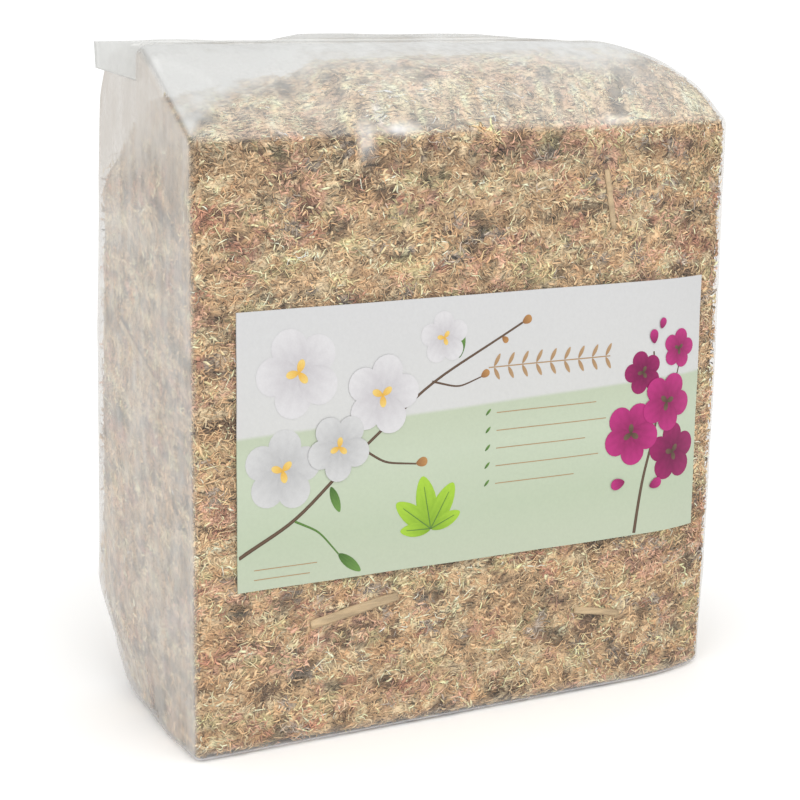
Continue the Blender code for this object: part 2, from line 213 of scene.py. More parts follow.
# The filled form's place for points of a plain box.
def formed(spots):
    form = bagForm
    x, y, z = spots.T
    across = swollen(x, y, z)
    up = share(z / form["shoulder"])
    front = share(0.5 - y / (2 * halfDeep))
    behind = share((y / halfDeep - form["footStart"]) / (1.0 - form["footStart"]))
    beside = share(0.4 - x / halfWide)
    lift = form["footLift"] * (behind * beside) ** 2 * share(1.0 - z / form["footReach"])
    risen = easedShare((z - form["riseStart"]) / (form["shoulder"] - form["riseStart"]))
    depth = y + frontSetback(across) * front + form["backLean"] * (0.5 - up) * (1.0 - front)
    return np.stack([across, depth, z + roofRise(x, y) * risen + lift], axis=1)


# The plain box's place for points of the filled form.
def unformed(spots):
    plain = spots.copy()
    for _ in range(10):
        plain += 0.8 * (spots - formed(plain))
    return plain


# The low and high corners of the plain box, drawn in by this much.
def plainBox(inset=0.0):
    low = np.array([-halfWide, -halfDeep, 0.0]) + inset
    high = np.array([halfWide, halfDeep, bagForm["shoulder"]]) - inset
    return low, high


# Draws in the points that are nearer the film than margin, or past it.
def insideFilm(spots, margin):
    plain = unformed(spots)
    core = np.clip(plain, *plainBox(bagForm["round"]))
    out = plain - core
    reach = np.linalg.norm(out, axis=1)
    room = np.broadcast_to(bagForm["round"] - margin, len(spots))
    far = reach > room
    plain[far] = core[far] + out[far] * (room[far] / reach[far])[:, None]
    moved = spots.copy()
    moved[far] = formed(plain[far])
    return moved


# Smooth noise from -1 to 1 whose blobs are about this size.
def latticeNoise(spots, size, seed):
    count = 48
    lattice = np.random.default_rng(seed).uniform(-1.0, 1.0, (count, count, count))
    place = spots / np.asarray(size) + 1000.0
    cell = np.floor(place).astype(np.int64)
    part = place - cell
    part = part * part * (3.0 - 2.0 * part)
    total = np.zeros(len(spots))
    for dx in (0, 1):
        for dy in (0, 1):
            for dz in (0, 1):
                weight = (
                    np.where(dx, part[:, 0], 1 - part[:, 0])
                    * np.where(dy, part[:, 1], 1 - part[:, 1])
                    * np.where(dz, part[:, 2], 1 - part[:, 2])
                )
                total += weight * lattice[tuple(((cell + (dx, dy, dz)) % count).T)]
    return total


def smooth(mesh):
    mesh.polygons.foreach_set("use_smooth", np.ones(len(mesh.polygons), bool))


def placePoints(mesh, spots):
    mesh.vertices.foreach_set("co", np.ascontiguousarray(spots, np.float32).ravel())


# A piece of the part from an array of points and one of triangles.
def meshPiece(name, spots, faces, shader):
    mesh = bpy.data.meshes.new(name)
    mesh.vertices.add(len(spots))
    placePoints(mesh, spots)
    sides = faces.shape[1]
    mesh.loops.add(faces.size)
    mesh.loops.foreach_set("vertex_index", np.ascontiguousarray(faces, np.int32).ravel())
    mesh.polygons.add(len(faces))
    mesh.polygons.foreach_set("loop_start", np.arange(0, faces.size, sides, dtype=np.int32))
    smooth(mesh)
    mesh.update(calc_edges=True)
    mesh.materials.append(shader)
    piece = bpy.data.objects.new(name, mesh)
    bpy.context.scene.collection.objects.link(piece)
    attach(piece, "root")
    return piece


def paint(piece, name, colours):
    layer = piece.data.attributes.new(name, "FLOAT_COLOR", "POINT")
    full = np.ones((len(colours), 4), np.float32)
    full[:, :3] = colours
    layer.data.foreach_set("color", full.ravel())


def paintHaze(piece, values):
    layer = piece.data.attributes.new("haze", "FLOAT", "POINT")
    layer.data.foreach_set("value", values.astype(np.float32))


def pointsOf(mesh):
    spots = np.empty(len(mesh.vertices) * 3, np.float32)
    mesh.vertices.foreach_get("co", spots)
    return spots.reshape(-1, 3).astype(np.float64)


def trianglesOf(mesh):
    mesh.calc_loop_triangles()
    faces = np.empty(len(mesh.loop_triangles) * 3, np.int32)
    mesh.loop_triangles.foreach_get("vertices", faces)
    return faces.reshape(-1, 3)


# Makes this the one selected object and opens its mesh, all of it selected.
def startEdit(thing):
    deselectAll()
    thing.select_set(True)
    bpy.context.view_layer.objects.active = thing
    bpy.ops.object.mode_set(mode="EDIT")
    bpy.ops.mesh.select_all(action="SELECT")


# Gives the points and triangles of a modelled object, and takes the object away.
def takeTemplate(thing):
    template = (pointsOf(thing.data), trianglesOf(thing.data).copy())
    bpy.data.objects.remove(thing)
    return template


def linkNodes(tree, start, startSocket, end, endSocket):
    tree.links.new(start.outputs[startSocket], end.inputs[endSocket])


# A shader node with the values of its inputs and its settings.
def addNode(tree, kind, inputs=None, **settings):
    node = tree.nodes.new("ShaderNode" + kind)
    for name, value in settings.items():
        setattr(node, name, value)
    for name, value in (inputs or {}).items():
        node.inputs[name].default_value = value
    return node


# A node group that takes a colour and gives a colour and a height.
def newGroup(name, values=()):
    group = bpy.data.node_groups.new(name, "ShaderNodeTree")
    face = group.interface
    face.new_socket("Colour", in_out="INPUT", socket_type="NodeSocketColor")
    for socket, value in values:
        made = face.new_socket(socket, in_out="INPUT", socket_type="NodeSocketFloat")
        made.default_value = value
    face.new_socket("Colour", in_out="OUTPUT", socket_type="NodeSocketColor")
    face.new_socket("Height", in_out="OUTPUT", socket_type="NodeSocketFloat")
    return group, group.nodes.new("NodeGroupInput"), group.nodes.new("NodeGroupOutput")


# Fine streaks of darker colour and their height, on the object's own coordinates.
def fibreGrain():
    values = (("Scale", 400.0), ("Stretch", 0.25), ("Darken", 0.3))
    group, start, end = newGroup("fibreGrain", values)
    place = addNode(group, "TexCoord")
    squeeze = addNode(group, "VectorMath", operation="MULTIPLY")
    spread = addNode(group, "CombineXYZ", {"Y": 1.0, "Z": 1.0})
    grain = addNode(group, "TexNoise", {"Detail": 5.0, "Roughness": 0.65})
    span = addNode(group, "MapRange", {"From Min": 0.35, "From Max": 0.65})
    dark = addNode(group, "Math", {0: 1.0}, operation="SUBTRACT")
    shade = addNode(group, "VectorMath", operation="SCALE")
    linkNodes(group, start, "Stretch", spread, "X")
    linkNodes(group, place, "Object", squeeze, 0)
    linkNodes(group, spread, "Vector", squeeze, 1)
    linkNodes(group, squeeze, "Vector", grain, "Vector")
    linkNodes(group, start, "Scale", grain, "Scale")
    linkNodes(group, grain, "Fac", span, "Value")
    linkNodes(group, start, "Darken", dark, 1)
    linkNodes(group, dark, "Value", span, "To Min")
    linkNodes(group, start, "Colour", shade, 0)
    linkNodes(group, span, "Result", shade, "Scale")
    linkNodes(group, shade, "Vector", end, "Colour")
    linkNodes(group, grain, "Fac", end, "Height")
    return group


# layers of curled fibres that cross each other, each with its turn
fibreLook = {
    "swirlScale": 230.0,
    "swirl": (0.0048, 0.0048, 0.0048),
    "turns": ((0.0, 0.10, 0.15), (0.3, -0.75, 0.9), (-0.4, 0.65, -0.8)),
    "stretch": (0.24, 1.0, 1.0),
    "scale": 520.0,
    "crest": {"From Min": 0.105, "From Max": 0.015},
    "tone": {"To Min": 0.20, "To Max": 1.04},
}


# Crossing layers of fine fibres with painted shade in the gaps between them, for the ground between
# the strands.
def mattedFibres():
    look = fibreLook
    group, start, end = newGroup("mattedFibres")
    place = addNode(group, "TexCoord")
    swirl = addNode(group, "TexNoise", {"Scale": look["swirlScale"], "Detail": 2.0})
    linkNodes(group, place, "Object", swirl, "Vector")
    shift = addNode(group, "VectorMath", operation="MULTIPLY_ADD")
    shift.inputs[1].default_value = look["swirl"]
    linkNodes(group, swirl, "Color", shift, 0)
    linkNodes(group, place, "Object", shift, 2)
    highest = None
    for turn in look["turns"]:
        lay = addNode(group, "Mapping", {"Rotation": turn, "Scale": look["stretch"]})
        waves = addNode(group, "TexNoise", {"Scale": look["scale"], "Detail": 1.5})
        centred = addNode(group, "Math", {1: 0.5}, operation="SUBTRACT")
        folded = addNode(group, "Math", operation="ABSOLUTE")
        crest = addNode(group, "MapRange", look["crest"])
        linkNodes(group, shift, "Vector", lay, "Vector")
        linkNodes(group, lay, "Vector", waves, "Vector")
        linkNodes(group, waves, "Fac", centred, 0)
        linkNodes(group, centred, "Value", folded, 0)
        linkNodes(group, folded, "Value", crest, "Value")
        if highest is None:
            highest = crest
            continue
        over = addNode(group, "Math", operation="MAXIMUM")
        linkNodes(group, highest, 0, over, 0)
        linkNodes(group, crest, "Result", over, 1)
        highest = over
    # painted shade: the ground between the fibre crests is made dark
    tone = addNode(group, "MapRange", look["tone"])
    linkNodes(group, highest, 0, tone, "Value")
    shade = addNode(group, "VectorMath", operation="SCALE")
    linkNodes(group, start, "Colour", shade, 0)
    linkNodes(group, tone, "Result", shade, "Scale")
    linkNodes(group, shade, "Vector", end, "Colour")
    linkNodes(group, highest, 0, end, "Height")
    return group


grainGroup = fibreGrain()
mattedGroup = mattedFibres()


# A material whose colour is the piece's own tint, with this group's grain over it.
def tintedShader(name, colour, roughness, group, bump, inputs=None):
    made, tree, shader = newShader(name, colour, roughness)
    grain = tree.nodes.new("ShaderNodeGroup")
    grain.node_tree = group
    for socket, value in (inputs or {}).items():
        grain.inputs[socket].default_value = value
    tint = addNode(tree, "Attribute", attribute_name="tint")
    linkNodes(tree, tint, "Color", grain, "Colour")
    linkNodes(tree, grain, "Colour", shader, "Base Color")
    raised = addNode(tree, "Bump", {"Strength": bump, "Distance": 0.0006})
    linkNodes(tree, grain, "Height", raised, "Height")
    linkNodes(tree, raised, "Normal", shader, "Normal")
    shader.inputs["Specular IOR Level"].default_value = 0.25
    return made


# the matted core of the block

coreLook = {
    "voxel": 0.0036,
    "fill": 0.0013,
    "slope": 0.25,
    "slopeStart": 0.0030,
    "blend": 0.006,
    "reach": (0.024, 0.024, 0.012),
    "roofReach": ((0.006, -0.085, 0.030), (0.014, 0.030, 0.070)),  # how much more, from where, over
    "gable": 0.256,
    "gableBlend": 0.014,
    "tone": 0.70,
    "roughness": 0.92,
    "bump": 1.0,
}


# Moves the core's skin out until it lies just under the film, but not under the hollow of the roof.
def fillOut(spots):
    look = coreLook
    plain = unformed(spots)
    low, high = plainBox()
    reach = np.tile(look["reach"], (len(spots), 1))
    for amount, start, span in look["roofReach"]:
        reach[:, 2] += amount * share((spots[:, 0] - start) / span)
    for wall, sign in ((low, 1.0), (high, -1.0)):
        gap = (plain - wall) * sign
        near = easedShare((reach - gap) / look["blend"])
        if sign > 0.0:  # the left wall leaves the moss where it is under the gable
            near[:, 0] *= 1.0 - share((spots[:, 2] - look["gable"]) / look["gableBlend"])
        wanted = look["fill"] + look["slope"] * (gap - look["slopeStart"])
        over = gap[:, 2]
        wanted[:, 2] = look["fill"] + (over - look["fill"]) * share(over / reach[:, 2]) ** 2
        plain -= sign * near * np.maximum(gap - wanted, 0.0)
    return insideFilm(formed(plain), look["fill"])


def mossCore():
    source = frame["nodes"]["moss_block"]
    core = bpy.data.objects.new("mossCore", source.data.copy())
    bpy.context.scene.collection.objects.link(core)
    core.data.materials.clear()
    startEdit(core)
    bpy.ops.mesh.remove_doubles(threshold=1e-6)
    bpy.ops.object.mode_set(mode="OBJECT")
    voxels = core.modifiers.new("even", "REMESH")
    voxels.mode = "VOXEL"
    voxels.voxel_size = coreLook["voxel"]
    bpy.ops.object.modifier_apply(modifier="even")
    shader = tintedShader(
        "mossDeep", mossColours["straw"], coreLook["roughness"], mattedGroup, coreLook["bump"]
    )
    core.data.materials.append(shader)
    placePoints(core.data, fillOut(pointsOf(core.data)))
    core.data.update()
    smooth(core.data)
    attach(core, "root")
    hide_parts("moss_block")
    return core


# the strands that cover it

# three sorts of strand: wide branches, the fibres over them and a few long wisps; a strand's tone
# goes with its lift, so the lower ones get painted shade
strandSorts = {
    "branch": {
        "share": 0.26,
        "length": (0.0038, 0.0074),
        "width": (0.0010, 0.0017),
        "lift": (-0.0006, 0.0005),
        "tone": (0.66, 0.90),
        "curl": 0.55,
    },
    "fibre": {
        "share": 0.64,
        "length": (0.0030, 0.0066),
        "width": (0.00048, 0.00080),
        "lift": (-0.0002, 0.0010),
        "tone": (0.68, 1.00),
        "curl": 0.85,
    },
    "wisp": {
        "share": 0.10,
        "length": (0.0060, 0.0115),
        "width": (0.00040, 0.00056),
        "lift": (0.0003, 0.0013),
        "tone": (0.84, 1.08),
        "curl": 0.65,
    },
}

strandLook = {
    "tuft": (0.0080, 0.0080, 0.0048),
    "flatness": 0.62,
    "margin": (0.0004, 0.0011),
    "roofMargin": 0.0010,
    "scatter": 0.30,
    "strays": 0.10,
    "tuftTurn": 0.75,
    "wideTurn": 0.35,
    "wide": (0.02, 0.02, 0.012),
    "bend": 0.9,
    "tuftLift": 0.0007,
    "tilt": 0.10,
    "sink": 0.0002,
    "tipTones": (0.86, 1.12),
    "roughness": 0.78,
    "bump": 0.35,
}

# colours of dry moss
mossColours = {
    "straw": (0.830, 0.565, 0.325),
    "cream": (0.960, 0.752, 0.478),
    "tan": (0.670, 0.415, 0.225),
    "salmon": (0.800, 0.470, 0.320),
    "rust": (0.570, 0.290, 0.190),
    "olive": (0.730, 0.605, 0.330),
    "grey": (0.500, 0.410, 0.330),
    "bark": (0.260, 0.165, 0.100),
}

# each colour's share of the tufts
tuftShares = {
    "straw": 0.33,
    "cream": 0.20,
    "tan": 0.14,
    "salmon": 0.115,
    "rust": 0.035,
    "olive": 0.07,
    "grey": 0.06,
    "bark": 0.05,
}

# sizes of the patches in metres, and how much each effect does
colourLook = {
    "warmPatch": (0.030, 0.030, 0.016),
    "widePatch": (0.040, 0.040, 0.013),
    "layer": (0.013, 0.013, 0.0019),
    "gap": (0.010, 0.010, 0.0055),
    "fleck": (0.0046, 0.0046, 0.0022),
    "own": 0.34,
    "ownReach": 0.67,
    "tuftReach": 0.985,
    "scatter": 0.22,
    "tuftTone": (0.82, 0.40),
    "wideTone": 0.09,
    "layerTone": 0.22,
    "gapPaintedShade": 0.68,
    "fleckDark": 0.62,
    "roofCream": 0.50,
    "roofPaintedLight": (1.29, 1.27, 1.33),
    "edgePaintedLight": 0.26,
}

# single tufts on the front: across and up in metres, size, colour, how far they take it over
frontTufts = (
    (-0.136, 0.246, 0.009, "rust", 0.9),
    (-0.120, 0.232, 0.008, "rust", 0.7),
    (-0.138, 0.205, 0.007, "salmon", 0.8),
    (-0.098, 0.190, 0.007, "salmon", 0.7),
    (-0.030, 0.172, 0.007, "salmon", 0.7),
    (0.100, 0.060, 0.012, "salmon", 0.7),
    (0.020, 0.226, 0.010, "salmon", 0.5),
    (0.052, 0.236, 0.007, "rust", 0.6),
    (0.124, 0.222, 0.012, "rust", 0.5),
    (0.030, 0.215, 0.012, "olive", 0.6),
    (-0.040, 0.244, 0.010, "olive", 0.6),
    (-0.062, 0.259, 0.009, "bark", 0.7),
    (-0.066, 0.272, 0.006, "grey", 0.9),
    (0.118, 0.206, 0.008, "bark", 0.6),
    (0.066, 0.034, 0.009, "bark", 0.8),
    (0.090, 0.012, 0.006, "bark", 0.7),
    (0.025, 0.008, 0.007, "bark", 0.7),
    (-0.105, 0.028, 0.008, "bark", 0.8),
    (-0.100, 0.262, 0.007, "bark", 0.6),
    (0.105, 0.236, 0.010, "salmon", 0.4),
    (-0.075, 0.060, 0.016, "salmon", 0.35),
)


# One strand along X from 0 to 1, three-sided and pointed at both ends.
def strandTemplate():
    deselectAll()
    bpy.ops.mesh.primitive_cylinder_add(
        vertices=3,
        radius=0.5,
        depth=0.34,
        end_fill_type="TRIFAN",
        location=(0.47, 0.0, 0.0),
        rotation=(0.0, math.pi / 2, 0.0),
    )
    strand = bpy.context.object
    bpy.ops.object.transform_apply(location=True, rotation=True, scale=True)
    bpy.ops.object.mode_set(mode="EDIT")
    bpy.ops.mesh.quads_convert_to_tris()
    bpy.ops.object.mode_set(mode="OBJECT")
    for vert in strand.data.vertices:
        if abs(vert.co.y) + abs(vert.co.z) < 0.01:
            vert.co.x = 0.0 if vert.co.x < 0.5 else 1.0
    return takeTemplate(strand)


# For each point, which side of the block it is on.
def nearestSide(spots):
    plain = unformed(spots)
    x, y, z = plain.T
    above = bagForm["shoulder"] - z
    gaps = np.stack([y + halfDeep, halfWide - x, halfDeep - y, x + halfWide, above, z])
    return np.argmin(gaps, axis=0)


sideNames = ("Front", "Right", "Back", "Left", "Top", "Under")
frontSide, roofSide = sideNames.index("Front"), sideNames.index("Top")
sideOut = np.array([(0, -1, 0), (1, 0, 0), (0, 1, 0), (-1, 0, 0), (0, 0, 1), (0, 0, -1)], float)
sideAlong = np.array([(1, 0, 0), (0, 1, 0), (-1, 0, 0), (0, -1, 0), (1, 0, 0), (1, 0, 0)], float)


def unit(vectors):
    return vectors / np.maximum(np.linalg.norm(vectors, axis=-1, keepdims=True), 1e-9)


# Four random numbers from 0 to 1 for the tuft that each point is in.
def tuftOf(spots, size, seed):
    count = 48
    draw = np.random.default_rng(seed)
    jitter = draw.uniform(0.0, 1.0, (count, count, count, 3))
    values = draw.uniform(0.0, 1.0, (count, count, count, 4))
    place = spots / np.asarray(size) + 1000.0
    cell = np.floor(place).astype(np.int64)
    nearest = np.full(len(spots), 1e9)
    found = np.zeros((len(spots), 4))
    for dx in (-1, 0, 1):
        for dy in (-1, 0, 1):
            for dz in (-1, 0, 1):
                other = cell + (dx, dy, dz)
                key = tuple((other % count).T)
                gap = ((other + jitter[key] - place) ** 2).sum(axis=1)
                closer = gap < nearest
                nearest[closer] = gap[closer]
                found[closer] = values[key][closer]
    return found


# Where the moss has gaps between its tufts, from -1 to 1; the colours get painted shade there.
def mossGaps(spots):
    return latticeNoise(spots, colourLook["gap"], 31)


# Colour of each strand: that of its tuft mostly, in soft wide patches, then the single tufts.
def strandColours(spots, side, tuft, draw):
    look = colourLook
    names = list(mossColours)
    palette = np.array(list(mossColours.values()))
    count = len(spots)
    ends = np.cumsum(list(tuftShares.values()))
    order = np.array([names.index(name) for name in tuftShares])
    salmon, straw = names.index("salmon"), names.index("straw")
    warm = latticeNoise(spots, look["warmPatch"], 22)
    level = share(tuft[:, 0] * look["tuftReach"])
    own = draw.uniform(0.0, 1.0, count) < look["own"]
    level = np.where(own, draw.uniform(0.0, look["ownReach"], count), level)
    pick = order[np.minimum(np.searchsorted(ends, level), len(order) - 1)]
    pick = np.where((pick == salmon) & (warm < -0.25), straw, pick)
    pick = np.where((pick == straw) & (warm > 0.45) & (tuft[:, 1] > 0.55), salmon, pick)
    for across, height, size, name, take in frontTufts:
        near = np.hypot(spots[:, 0] - across, 1.5 * (spots[:, 2] - height)) / size
        chance = take * share(1.35 - near)
        taken = (side == frontSide) & (draw.uniform(0, 1, count) < chance)
        pick = np.where(taken, names.index(name), pick)
    colours = palette[pick]
    if side == roofSide:
        # painted light: the top's strands are blended toward cream and brightened, as if lit more
        # from above
        cream = np.array(mossColours["cream"])
        colours = np.array(look["roofPaintedLight"]) * (colours + look["roofCream"] * (cream - colours))
    wide = latticeNoise(spots, look["widePatch"], 21)
    layer = latticeNoise(spots, look["layer"], 32)
    fleck = latticeNoise(spots, look["fleck"], 33)
    least, more = look["tuftTone"]
    tone = draw.normal(1.0, look["scatter"], count).clip(0.45, 1.6)
    tone = tone * (least + more * tuft[:, 1])
    tone = tone * (1.0 + look["wideTone"] * wide + look["layerTone"] * layer)
    # painted shade in the gaps between the tufts
    tone = tone * (1.07 - look["gapPaintedShade"] * easedShare((mossGaps(spots) - 0.38) / 0.25))
    tone = tone * (1.0 - look["fleckDark"] * easedShare((fleck - 0.42) / 0.22))
    if side == frontSide:  # a darker band under the front's top edge, and a lighter edge over it
        # painted shade in the band under the front's top edge, and a painted highlight on the edge
        # over it
        edgeShadeAndHighlight = np.exp(-(((spots[:, 2] - 0.268) / 0.005) ** 2))
        edgeShadeAndHighlight -= 0.35 * share((spots[:, 2] - 0.273) / 0.004)
        tone = tone * (1.0 - look["edgePaintedLight"] * edgeShadeAndHighlight)
    return (colours * tone[:, None]).clip(0.02, 1.3)


labelPlace = {"left": -0.123, "bottom": 0.0778, "width": 0.253, "height": 0.127}


def underLabel(spots, inset):
    left, low = labelPlace["left"] + inset, labelPlace["bottom"] + inset
    right = labelPlace["left"] + labelPlace["width"] - inset
    high = labelPlace["bottom"] + labelPlace["height"] - inset
    x, _, z = spots.T
    return (x > left) & (x < right) & (z > low) & (z < high)


core = mossCore()
print("moss core", len(core.data.polygons), "faces")
coreSpots = pointsOf(core.data)
coreFaces = trianglesOf(core.data)
coreCorners = coreSpots[coreFaces]
coreOut = np.cross(coreCorners[:, 1] - coreCorners[:, 0], coreCorners[:, 2] - coreCorners[:, 0])
coreArea = np.linalg.norm(coreOut, axis=1) / 2
coreOut = unit(coreOut)
coreMiddle = coreCorners.mean(axis=1)
coreSide = nearestSide(coreMiddle)


# Gives the core the colours of the tufts above it.
def paintCore():
    draw = np.random.default_rng(99)
    side = nearestSide(coreSpots)
    colours = np.zeros((len(coreSpots), 3))
    for index in range(len(sideNames)):
        here = side == index
        tuft = tuftOf(coreSpots[here], strandLook["tuft"], 40 + index)
        colours[here] = strandColours(coreSpots[here], index, tuft, draw)
    paint(core, "tint", (colours * coreLook["tone"]).clip(0.0, 0.97))


paintCore()


# node, face, both ends along the face and up, half its width
stalks = (
    ("straw_stalk_1", "front", (-0.086, 0.057), (-0.041, 0.0645), 0.0024),
    ("straw_stalk_2", "front", (0.058, 0.043), (0.084, 0.038), 0.0017),
    ("straw_stalk_3", "front", (0.069, 0.258), (0.074, 0.231), 0.0016),
    ("straw_stalk_4", "left", (0.026, 0.190), (-0.014, 0.168), 0.0013),
    ("straw_stalk_5", "back", (0.080, 0.120), (0.032, 0.134), 0.0015),
)


# True for the points that lie under one of the stalks.
def underStalk(spots, side):
    covered = np.zeros(len(spots), bool)
    for _, face, start, end, half in stalks:
        if sideNames[side].lower() != face:
            continue
        across = spots[:, 1] if face == "left" else spots[:, 0]
        place = np.stack([across, spots[:, 2]], axis=1) - start
        line = np.array(end) - start
        along = share(place @ line / (line @ line))
        covered |= np.linalg.norm(place - along[:, None] * line, axis=1) < half + 0.0012
    return covered


# Random places over one side of the core, fewer where the moss has gaps and behind the label.
def strandRoots(side, count, draw):
    weight = np.where(coreSide == side, coreArea, 0.0)
    weight = weight * np.where(mossGaps(coreMiddle) > 0.62, 0.25, 1.0)
    weight = weight * np.where(underStalk(coreMiddle, side), 0.15, 1.0)
    if side == frontSide:
        weight = weight * np.where(underLabel(coreMiddle, 0.006), 0.12, 1.0)
    chosen = draw.choice(len(weight), count, p=weight / weight.sum())
    u, v = draw.uniform(0, 1, (2, count))
    over = u + v > 1.0
    u, v = np.where(over, 1 - u, u), np.where(over, 1 - v, v)
    a, b, c = coreCorners[chosen, 0], coreCorners[chosen, 1], coreCorners[chosen, 2]
    roots = a + (b - a) * u[:, None] + (c - a) * v[:, None]
    return roots, unit(0.5 * coreOut[chosen] + sideOut[side])


strandSpots, strandFaces = strandTemplate()
strandShader = tintedShader(
    "mossStrand",
    mossColours["straw"],
    strandLook["roughness"],
    grainGroup,
    strandLook["bump"],
    {"Scale": 900.0, "Stretch": 1.0, "Darken": 0.18},
)


# Which way each strand turns: with its tuft mostly, some of them any way.
def strandTurns(roots, tuft, draw):
    look = strandLook
    count = len(roots)
    turn = look["tuftTurn"] * (tuft[:, 2] - 0.5)
    turn = turn + look["wideTurn"] * latticeNoise(roots, look["wide"], 41)
    turn = turn + draw.normal(0.0, look["scatter"], count)
    stray = draw.uniform(0, 1, count) < look["strays"]
    turn = np.where(stray, draw.uniform(-math.pi, math.pi, count), turn)
    return turn + np.where(draw.uniform(0, 1, count) < 0.5, math.pi, 0.0)


# Covers one side of the core with curled strands, as one piece.
def coverWithStrands(name, side, count, seed):
    look = strandLook
    draw = np.random.default_rng(seed)
    roots, away = strandRoots(side, count, draw)
    along = unit(sideAlong[side] - away * (away @ sideAlong[side])[:, None])
    upward = np.cross(away, along)
    tuft = tuftOf(roots, look["tuft"], 40 + side)
    sorts = list(strandSorts.values())
    kind = draw.choice(len(sorts), count, p=[sort["share"] for sort in sorts])

    def drawn(key, chance):
        low = np.array([sort[key][0] for sort in sorts])[kind]
        high = np.array([sort[key][1] for sort in sorts])[kind]
        return low + (high - low) * chance

    turn = strandTurns(roots, tuft, draw)
    curl = np.array([sort["curl"] for sort in sorts])[kind]
    bends = curl * draw.normal(0.0, 0.9, (4, count)) + look["bend"] * (tuft[:, 3] - 0.5)
    length = drawn("length", draw.uniform(0.0, 1.0, count))
    width = drawn("width", draw.uniform(0.0, 1.0, count))
    # depth sets both how high a strand lies and how light it is painted: painted shade on the
    # strands that lie lower
    depth = draw.uniform(0.0, 1.0, count)
    lift = drawn("lift", depth) + look["tuftLift"] * (tuft[:, 1] - 0.5)
    tilt = draw.normal(0.0, look["tilt"], count)
    levels = np.unique(np.round(strandSpots[:, 0], 3))
    place = roots
    rings, crossways = [], []
    heading = turn - bends[0]
    for step, level in enumerate(levels):
        if step:
            stride = (level - levels[step - 1]) * length
            ahead = along * np.cos(heading)[:, None] + upward * np.sin(heading)[:, None]
            place = place + ahead * stride[:, None]
            heading = heading + bends[step]
        ahead = along * np.cos(heading)[:, None] + upward * np.sin(heading)[:, None]
        arch = lift * math.sin(math.pi * (0.14 + 0.72 * level))
        height = arch + tilt * (level - 0.5) * length - look["sink"]
        rings.append(place + away * height[:, None])
        crossways.append(np.cross(away, ahead))
    parts = []
    for spot in strandSpots:
        ring = int(np.argmin(np.abs(levels - spot[0])))
        crossPart = crossways[ring] * (spot[1] * width)[:, None]
        outPart = away * (spot[2] * width * look["flatness"])[:, None]
        parts.append(rings[ring] + crossPart + outPart)
    extra = look["roofMargin"] if side == roofSide else 0.0
    margin = draw.uniform(*look["margin"], count) + extra
    corners = len(strandSpots)
    spots = insideFilm(np.stack(parts, axis=1).reshape(-1, 3), np.repeat(margin, corners))
    faces = (strandFaces[None] + (np.arange(count) * corners)[:, None, None]).reshape(-1, 3)
    piece = meshPiece(name, spots, faces, strandShader)
    # painted shade: each strand's colour is scaled by the tone drawn with its lift
    colours = strandColours(roots, side, tuft, draw) * drawn("tone", depth)[:, None]
    level = np.tile(strandSpots[:, 0], count)
    rootTone, tipTone = look["tipTones"]
    tone = np.where(level > 0.9, tipTone, np.where(level < 0.1, rootTone, 1.0))
    paint(piece, "tint", (np.repeat(colours, corners, axis=0) * tone[:, None]).clip(0.0, 0.97))
    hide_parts("moss_block")
    return piece


# name, side, how many strands, seed
strandPieces = (
    ("mossFrontLower", 0, 15500, 101),
    ("mossFrontUpper", 0, 15500, 102),
    ("mossRight", 1, 6000, 103),
    ("mossBack", 2, 13500, 104),
    ("mossLeft", 3, 6000, 105),
    ("mossTop", 4, 7600, 106),
    ("mossUnder", 5, 2400, 107),
)
for pieceName, sideIndex, strandCount, strandSeed in strandPieces:
    made = coverWithStrands(pieceName, sideIndex, strandCount, strandSeed)
    print(pieceName, len(made.data.polygons), "triangles")

# the clear film

filmLook = {
    "cuts": 84,
    "crowding": 0.68,
    "tone": (0.66, 0.645, 0.62),
    "roofShadedTone": (0.560, 0.563, 0.550),
    "gableTone": (0.545, 0.505, 0.460),
    "footTone": (0.700, 0.690, 0.720),
    "glareTone": (0.900, 0.900, 0.900),
    "roughness": 0.24,
    "letThrough": 0.30,
    "creaseShade": 0.30,
    # where the moss fades away under the roof, seen from above
    "crownAcross": (
        *(-0.144, -0.140, -0.132, -0.125, -0.0975, -0.0835, -0.060),
        *(0.0, 0.050, 0.080, 0.100, 0.115, 0.144),
    ),
    "crownDeep": (
        *(-0.0550, -0.0510, -0.0425, -0.0370, -0.0270, -0.0220, -0.0170),
        *(-0.0150, -0.0190, -0.0250, -0.0220, -0.0080, 0.0400),
    ),
    "vents": (0.075, 0.215, 0.0030),  # how far out, how high, radius
    "sideFold": 0.0004,
    "roofFold": 0.0013,
    "frontFold": 0.00022,
    "backFold": 0.0008,
}


# The film's cover with two small round holes left open in its back.
def holed(tree, place, shown):
    parts = addNode(tree, "SeparateXYZ")
    linkNodes(tree, place, "Object", parts, "Vector")
    across, height, radius = filmLook["vents"]

    def reckon(first, socket, kind, amount=None, second=None):
        made = addNode(tree, "Math", operation=kind)
        linkNodes(tree, first, socket, made, 0)
        if second:
            linkNodes(tree, second, "Value", made, 1)
        elif amount is not None:
            made.inputs[1].default_value = amount
        return made

    side = reckon(reckon(parts, "X", "ABSOLUTE"), "Value", "SUBTRACT", across)
    rise = reckon(parts, "Z", "SUBTRACT", height)
    side = reckon(side, "Value", "POWER", 2.0)
    rise = reckon(rise, "Value", "POWER", 2.0)
    apart = reckon(side, "Value", "ADD", second=rise)
    outside = reckon(apart, "Value", "GREATER_THAN", radius**2)
    inFront = reckon(parts, "Y", "LESS_THAN", 0.03)
    either = reckon(outside, "Value", "MAXIMUM", second=inFront)
    return reckon(shown, "Value", "MULTIPLY", second=either)


